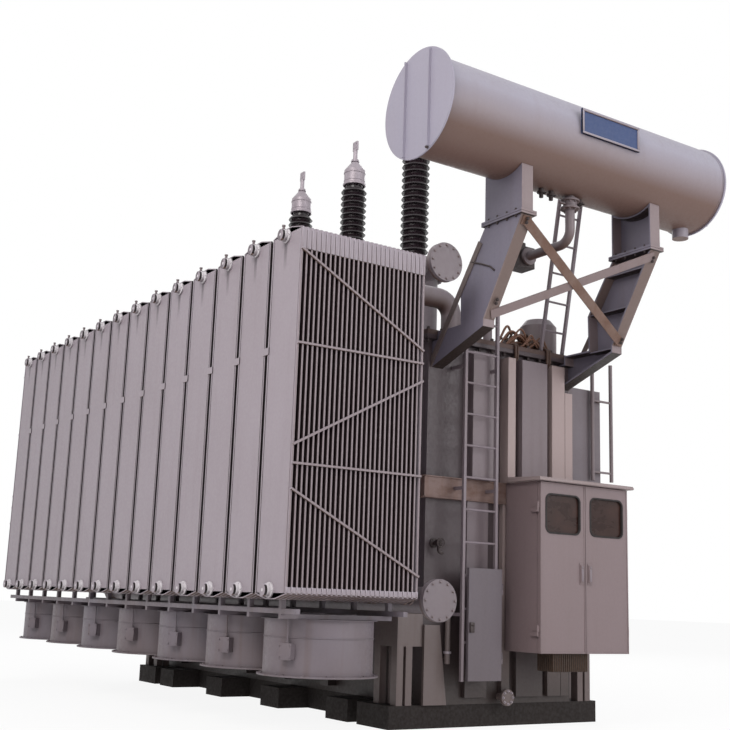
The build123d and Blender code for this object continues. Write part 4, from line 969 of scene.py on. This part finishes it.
def pipe_flanges(piece):
    """Valve flanges on the oil pipe under the barrel and on the cover."""
    flange = collar(0.045, 0.09, 0.02, 0.002)
    upper, foot = Vector((BARREL_X, OIL_Y, BARREL_LOW)), Vector((OIL_X, OIL_Y, COVER_TOP))
    for drop in (0.05, 0.125):
        piece.lathe(flange, upper - Z * drop, Z, 32)
        piece.bolt_ring(upper - Z * drop, -Z, 0.072, 8, 0.016, 0.012)
    piece.lathe(collar(0.04, 0.066, 0.055), upper - Z * 0.105, Z, 28)
    spindle = upper - Z * 0.078
    piece.tube([spindle - Y * 0.06, spindle - Y * 0.13], 0.012, 12)
    piece.lathe(flange, foot, Z, 32)
    piece.bolt_ring(foot + Z * 0.02, Z, 0.072, 8, 0.016, 0.012)


def relay_details(piece):
    """Windows and flange bolts of the gas relay."""
    (x_low, y_low, z_low), (x_high, y_high, z_high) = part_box("gas_relay")
    x, y, z = (x_low + x_high) / 2, (y_low + y_high) / 2, (z_low + z_high) / 2 - 0.026
    rim = [(0.03, 0), (0.048, 0), (0.05, 0.003), (0.05, 0.009), (0.048, 0.012), (0.03, 0.006), (0, 0.005)]
    for side, face in ((-1, y_low), (1, y_high)):
        piece.lathe(rim, (x, face, z), Y * side, 28)
        piece.bolt_ring((x, face, z), Y * side, 0.062, 6, 0.009, 0.006)
    for side, end in ((-1, x_low), (1, x_high)):
        piece.bolt_ring((end, y, z), X * side, 0.068, 8, 0.014, 0.01)


def barrel_valves(piece):
    """Small drain valves under the barrel beside its pipe."""
    body = [
        (0, 0), (0.024, 0), (0.024, 0.03), (0.04, 0.032), (0.04, 0.048), (0.02, 0.05), (0.02, 0.09),
        (0, 0.094),
    ]
    for y in (-0.42, -0.3, 0.06):
        foot = Vector((BARREL_X, y, BARREL_LOW))
        piece.lathe(body, foot + Z * 0.004, -Z, 20)
        piece.tube([foot - Z * 0.06, foot - Z * 0.06 + X * 0.07], 0.006, 8)


# Tank


def evenly(low, high, pitch):
    """Values from low to high, at close to a pitch."""
    count = round((high - low) / pitch)
    return [low + (high - low) * i / count for i in range(count + 1)]


def cover_bolts(piece):
    """Bolts round the cover, with their nuts under the tank's flange."""
    inset, pitch = 0.034, 0.155
    (x_low, y_low, _), (x_high, y_high, _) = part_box("tank_cover")
    x_low, x_high, y_low, y_high = x_low + inset, x_high - inset, y_low + inset, y_high - inset
    places = [(x, y) for x in evenly(x_low, x_high, pitch) for y in (y_low, y_high)]
    places += [(x, y) for y in evenly(y_low, y_high, pitch)[1:-1] for x in (x_low, x_high)]
    piece.bolts([(x, y, COVER_TOP) for x, y in places], Z, 0.034, 0.026)
    piece.bolts([(x, y, TANK_TOP - 0.04) for x, y in places], -Z, 0.034, 0.03)


def manhole_bolts(piece):
    """Bolts and lifting handles on the manhole covers."""
    x_low, x_high = span("manhole_covers", 0)
    top = span("manhole_covers", 2)[1]
    y = sum(span("manhole_covers", 1)) / 2
    for x in (x_low + 0.25, x_high - 0.25):
        piece.bolt_ring((x, y, top), Z, 0.222, 16, 0.026, 0.018)
        for at in (y - 0.12, y + 0.12):
            near, far, high = x - 0.05, x + 0.05, top + 0.04
            route = [(near, at, top), (near, at, high), (far, at, high), (far, at, top)]
            piece.tube(rounded(route, 0.015, 4), 0.007, 10)


def dome_bolts(piece):
    """Bolts round the foot of the tap changer head, and its lid ring."""
    (x_low, y_low, low), (x_high, y_high, high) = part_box("tap_changer_head")
    x, y, z = (x_low + x_high) / 2, (y_low + y_high) / 2, high - 0.09
    piece.bolt_ring((x, y, low + 0.01), Z, 0.1395, 12, 0.012, 0.009)
    ring = [(0.13, 0), (0.152, 0), (0.154, 0.003), (0.154, 0.021), (0.152, 0.024), (0.13, 0.024)]
    piece.lathe(ring, (x, y, z), Z, 48)
    piece.bolt_ring((x, y, z + 0.024), Z, 0.145, 16, 0.012, 0.008)
    piece.bolt_ring((x, y, z), -Z, 0.145, 16, 0.012, 0.008)


def belt_webs(piece):
    """Rolled edges of the girth band on the near end wall and the radiators' side."""
    thick, into = 0.012, 0.002
    (x_low, y_low, z_low), (x_high, y_high, z_high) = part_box("tank_belt")
    for z in (z_low, z_high - thick):
        piece.box((x_high - into, y_low, z), (x_high + thick, y_high, z + thick), 0.003)
        piece.box((x_low, y_low - thick, z), (x_high, y_low + into, z + thick), 0.003)


def wall_bolts(piece):
    """Bolts of the drain flange and unions of the sampling pipe on the end wall."""
    piece.bolt_ring(DRAIN_PLACE, X, 0.057, 8, 0.018, 0.014)
    for z in (1.14, 0.65):
        piece.lathe(collar(0.025, 0.036, 0.02), (*SAMPLING_PLACE, z), Z, 20)


# Cabinet


def door_middle(side):
    """The Y of the middle of a door."""
    return (CABINET_LEFT + CABINET_RIGHT) / 2 + side * (CABINET_RIGHT - CABINET_LEFT) / 4


def door_inner(side):
    """The Y of a door's edge in the middle of the cabinet."""
    return door_middle(side) - side * ((CABINET_RIGHT - CABINET_LEFT) / 4 - 0.003)


def window_gasket(piece, side):
    """The dark rubber profile round a window."""
    y = door_middle(side)
    outer = rounded_rectangle(WINDOW_WIDTH + 0.014, WINDOW_HEIGHT + 0.014, 0.066)
    inner = rounded_rectangle(WINDOW_WIDTH - 0.016, WINDOW_HEIGHT - 0.016, 0.052)
    layers = []
    for loop, lift in ((outer, 0), (outer, 0.006), (inner, 0.006), (inner, -0.016)):
        layers.append([(CABINET_FRONT + lift, y + a, WINDOW_Z + b) for a, b in loop])
    piece.skin(layers)


def door_trim(piece, side):
    """Folded edges of a door and the backing of its lock."""
    outer = CABINET_LEFT if side < 0 else CABINET_RIGHT
    y_low, y_high = sorted((outer, door_inner(side)))
    low, high, width = CABINET_LOW, CABINET_HIGH, 0.014
    back, front = CABINET_FRONT - 0.004, CABINET_FRONT + 0.005
    for y in (y_low, y_high - width):
        piece.box((back, y, low), (front, y + width, high), 0.002)
    for z in (low, high - width):
        piece.box((back, y_low + width, z), (front, y_high - width, z + width), 0.002)
    face, grip = CABINET_FRONT, door_inner(side) + side * GRIP_INSET
    piece.box((face, grip - 0.026, LOCK_Z - 0.1), (face + 0.006, grip + 0.026, LOCK_Z + 0.1), 0.002)


def door_handle(piece, side):
    """The lever and keyhole over a door's handle block."""
    front, grip = CABINET_FRONT + 0.018, door_inner(side) + side * GRIP_INSET
    low, high = (front - 0.006, grip - 0.012, LOCK_Z - 0.07), (front + 0.006, grip + 0.012, LOCK_Z + 0.045)
    piece.box(low, high, 0.004)
    keyhole = [(0, 0), (0.011, 0), (0.011, 0.004), (0.006, 0.005), (0, 0.003)]
    piece.lathe(keyhole, (front, grip, LOCK_Z + 0.062), X, 18)


def roof_edge(piece):
    """A folded lip round the front and sides of the cabinet's roof."""
    (x_low, y_low, z_low), (x_high, y_high, _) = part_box("cabinet_roof")
    proud, low, high = 0.005, z_low + 0.004, z_low + 0.022
    back = x_high - 0.002
    piece.box((back, y_low - proud, low), (x_high + proud, y_high + proud, high), 0.0015)
    piece.box((x_low, y_low - proud, low), (back, y_low + 0.001, high), 0.0015)
    piece.box((x_low, y_high - 0.001, low), (back, y_high + proud, high), 0.0015)


def guard_latch(piece):
    """The dark hasp and bar of the guard door."""
    (_, y_low, z_low), (front, _, z_high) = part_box("guard_door")
    middle = (z_low + z_high) / 2
    low, high = (front - 0.018, y_low + 0.012, middle - 0.075), (front + 0.003, y_low + 0.058, middle + 0.015)
    piece.box(low, high, 0.003)
    z, out, first, last = middle - 0.01, front + 0.02, y_low + 0.024, y_low + 0.046
    route = [(front, first, z), (out, first, z), (out, last, z), (front, last, z)]
    piece.tube(rounded(route, 0.008, 4), 0.004, 8)


def duct_ridges(piece):
    """The upright corrugations of the cable duct."""
    radius, pitch = 0.009, 0.0255
    (x_low, y_low, z_low), (x_high, y_high, z_high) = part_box("cable_duct")
    places = [(x_high, y) for y in evenly(y_low, y_high, pitch)]
    places += [(x, y) for x in evenly(x_low, x_high, pitch)[:-1] for y in (y_low, y_high)]
    for x, y in places:
        piece.tube([(x, y, z_low + 0.002), (x, y, z_high)], radius, 8)


def cable_box_frames(piece):
    """Bolted cover plates on the outer face of the cable box."""
    (x_low, _, z_low), (x_high, y_high, z_high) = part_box("cable_box")
    middle, face = (z_low + z_high) / 2, y_high + 0.012
    for low, high in ((z_low + 0.05, middle - 0.025), (middle + 0.025, z_high - 0.05)):
        piece.box((x_low + 0.05, y_high - 0.004, low), (x_high - 0.05, face, high), 0.004)
        places = []
        for i in range(7):
            x = x_low + 0.09 + (x_high - x_low - 0.18) * i / 6
            places += [(x, face, low + 0.03), (x, face, high - 0.03)]
        for i in range(1, 7):
            z = low + 0.03 + (high - low - 0.06) * i / 7
            places += [(x_low + 0.08, face, z), (x_high - 0.08, face, z)]
        piece.bolts(places, Y, 0.022, 0.016)


# Arms


# The arms' outline along Y, from the foot round the knee and up the front of the leg
ARM_OUTLINE = (
    (NEAR_WALL, 3.278), (3.522, 3.54), (3.522, 3.61), (LEG_NEAR, JOINT_LOW), (LEG_FAR, JOINT_LOW),
    (3.433, 4.315), (3.193, 3.96), (3.201, 3.61), (2.852, 3.61), (2.852, 3.528), (NEAR_WALL, 3.528),
)
ARM_TOP_EDGE = 3
# Where each stiffener between the flanges starts and ends in X, and its height
STIFFENERS = ((3.205, 3.515, 3.585), (3.21, 3.72, 3.965), (3.45, 3.93, 4.315))


def flanged(piece, outline, y_low, y_high, web_side, bare=(), flange=0.018, web=0.014):
    """A channel of plates along Y: a web with the outline, and flanges inside its edges."""
    count = len(outline)
    spots = [Vector(p) for p in outline]
    sides = [spots[(i + 1) % count] - spots[i] for i in range(count)]
    area = sum(spots[i].cross(spots[(i + 1) % count]) for i in range(count))
    inward = [Vector((-s.y, s.x)).normalized() * (1 if area > 0 else -1) for s in sides]
    inner = []
    for i in range(count):
        middle = (inward[i - 1] + inward[i]).normalized()
        inner.append(spots[i] + middle * (flange / max(0.35, middle.dot(inward[i]))))
    back = y_low if web_side < 0 else y_high - web
    piece.prism(outline, back, back + web)
    rest = (back + web, y_high) if web_side < 0 else (y_low, back)
    for i in range(count):
        if i not in bare:
            j = (i + 1) % count
            piece.prism([spots[i], spots[j], inner[j], inner[i]], *rest)


def joint_plate(piece, y, low, high):
    """One of the two bolted plates between a leg and its saddle."""
    corner = (LEG_FAR - JOINT_LIP, y - JOINT_LIP, low)
    piece.box(corner, (LEG_NEAR + JOINT_LIP, y + ARM_THICK + JOINT_LIP, high), 0.003)


def arm_channels(piece):
    """Both arms as channels, their open sides facing each other, with stiffeners."""
    for y, web_side in zip(ARM_PLACES, (-1, 1)):
        flanged(piece, ARM_OUTLINE, y, y + ARM_THICK, web_side, bare=(ARM_TOP_EDGE,))
        low, high = (y + 0.01, y + ARM_THICK - 0.012) if web_side < 0 else (y + 0.012, y + ARM_THICK - 0.01)
        for x_low, x_high, z in STIFFENERS:
            piece.box((x_low, low, z - 0.007), (x_high, high, z + 0.007), 0.002)
        joint_plate(piece, y, JOINT_LOW, JOINT_LOW + JOINT_PLATE - 0.0002)


def saddle_channels(piece):
    """The plates between the bolted joints and the barrel."""
    low = JOINT_LOW + JOINT_PLATE
    outline = [(LEG_FAR, low + 0.02), (LEG_NEAR, low + 0.02)]
    for i in range(13):
        x = LEG_NEAR + (LEG_FAR - LEG_NEAR) * i / 12
        drop = math.sqrt((BARREL_RADIUS + 0.0006) ** 2 - (x - BARREL_X) ** 2)
        outline.append((x, BARREL_Z - drop))
    for y, web_side in zip(ARM_PLACES, (-1, 1)):
        flanged(piece, outline, y, y + ARM_THICK, web_side)
        joint_plate(piece, y, low, low + JOINT_PLATE)


# Cables and small fittings of the near end


def cover_conduits(piece, seed, count):
    """Conduits heaped on the cover's near edge, resting on it at both ends."""
    chance = random.Random(seed)
    steps = 18
    for _ in range(count):
        radius = chance.uniform(0.008, 0.013)
        start, length = chance.uniform(0.0, 0.36), chance.uniform(0.28, 0.4)
        peak = chance.uniform(0.03, 0.17) * (1.1 - start)
        x = chance.uniform(2.55, 2.8)
        sway, waves = chance.uniform(-0.03, 0.03), chance.uniform(3, 7)
        route = []
        for k in range(steps + 1):
            s = k / steps
            lift = peak * math.sin(math.pi * s) ** 1.3 * (1 + 0.3 * math.sin(waves * s + x * 40))
            across = min(x + sway * math.sin(waves * s), COVER_EDGE - 0.02)
            route.append((across, start + length * s, COVER_TOP + radius + lift))
        piece.tube(route, radius, 10)


def wall_conduits(piece):
    """Conduits from the cover's edge down between the ribs to the cabinet, with saddles."""
    wide = 0.012
    for y, radius in ((0.105, 0.013), (0.135, 0.011), (0.525, 0.016), (0.56, 0.013)):
        top, front, wall = COVER_TOP + radius, COVER_EDGE + 0.005 + radius, NEAR_WALL + radius + 0.004
        route = [(2.74, y, top), (front, y, top), (front, y, 3.5), (wall, y, 3.42), (wall, y, 2.28)]
        piece.tube(rounded(route, 0.03, 5), radius, 12)
        for z in (3.3, 2.95, 2.6):
            outer = (NEAR_WALL + 2 * radius + 0.007, y + radius + wide, z + 0.02)
            piece.box((NEAR_WALL, y - radius - wide, z), outer, 0.003)


def sampling_valve(piece):
    """The small flanged sampling valve on the end wall, with its hand wheel."""
    foot = Vector((NEAR_WALL, -0.8, 1.633))
    body = [
        (0, 0), (0.045, 0), (0.045, 0.014), (0.02, 0.016), (0.02, 0.06), (0.032, 0.064), (0.032, 0.1),
        (0, 0.104),
    ]
    piece.lathe(body, foot, X, 24)
    branch, drop = foot + X * 0.08, Z * 0.09
    piece.tube(rounded([branch, branch - drop, branch - drop + Y * 0.05], 0.03, 5), 0.014, 12)
    piece.hoop(foot + X * 0.115, X, 0.042, 0.006, 28, 8)
    hub = foot + X * 0.114
    for angle in (0, math.pi / 3, 2 * math.pi / 3):
        way = Vector((0, math.cos(angle), math.sin(angle))) * 0.042
        piece.tube([hub - way, hub + way], 0.004, 8)
    piece.bolt_ring(foot + X * 0.014, X, 0.034, 6, 0.01, 0.007)


def leg_conduit(piece):
    """The thin conduit clipped across the outer web of the left arm."""
    y = ARM_PLACES[0] - 0.008
    route = [(3.36, y, 4.17), (3.5, y, 4.12), (3.62, y, 4.07), (3.68, y, 4.02)]
    piece.tube(rounded(route, 0.04, 4), 0.008, 10)


def make_pieces(finishes):
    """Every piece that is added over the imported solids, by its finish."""
    def make(finish, slot, *builders, given=(), suffix="", **kept):
        for builder in builders:
            piece = Piece(builder.__name__ + suffix)
            builder(piece, *given)
            piece.done(finishes[finish], slot, **kept)

    make("radiator_paint", "radiator_paint", fin_crests, end_fin_ribs, fin_seams)
    make("cap_metal", "bright_metal", header_caps)
    make("pipe_paint", "pipe_paint", vent_plugs, header_valves)
    make("pipe_paint", "pipe_paint", manifold_flanges, sharp=30)
    make("pipe_paint", "bright_metal", manifold_bolts)
    make("dark_metal", "dark_metal", fan_grilles)
    make("fan_metal", "fan_metal", fan_rims, fan_box_lids)
    make("porcelain", "porcelain", porcelains, replaces=("bushing_porcelains",), sharp=50)
    make("bright_metal", "bright_metal", bushing_fittings)
    make("tank_paint", "tank_paint", turret_feet)
    make("conservator_paint", "conservator_paint", barrel_seams)
    make("dark_metal", "dark_metal", disc_pin)
    make("conservator_paint", "conservator_paint", panel_frame)
    make("arm_paint", "arm_paint", arm_channels, replaces=("arms",))
    make("arm_paint", "arm_paint", saddle_channels, replaces=("saddles",))
    make("cable_brown", "brace_paint", cover_conduits, given=(11, 30))
    make("cable_dark", "brace_paint", cover_conduits, given=(23, 20), suffix="_dark")
    make("cable_dark", "brace_paint", wall_conduits)
    make("dark_metal", "dark_metal", sampling_valve, leg_conduit, barrel_valves, joint_bolts, brace_bolts)
    make("pipe_paint", "pipe_paint", pipe_flanges)
    make("dark_metal", "dark_metal", relay_details, cover_bolts)
    make("tank_paint", "tank_paint", manhole_bolts)
    make("pipe_paint", "pipe_paint", dome_bolts)
    make("brace_paint", "brace_paint", belt_webs)
    make("bright_metal", "bright_metal", wall_bolts)
    for side, suffix in ((-1, "_left"), (1, "_right")):
        door = {"given": (side,), "suffix": suffix, "body": "door" + suffix}
        make("rubber", "dark_metal", window_gasket, **door)
        make("cabinet_paint", "cabinet_paint", door_trim, **door)
        make("ladder_paint", "dark_metal", door_handle, **door)
    make("roof_paint", "cabinet_paint", roof_edge)
    make("dark_metal", "dark_metal", guard_latch, body="ladder_guard")
    make("duct_ridge", "dark_metal", duct_ridges)
    make("tank_paint", "tank_paint", cable_box_frames)


def main():
    """The stage, the dressed solids and the pieces over them."""
    finishes = make_finishes()
    make_stage()
    dress_solids(finishes)
    make_pieces(finishes)


main()
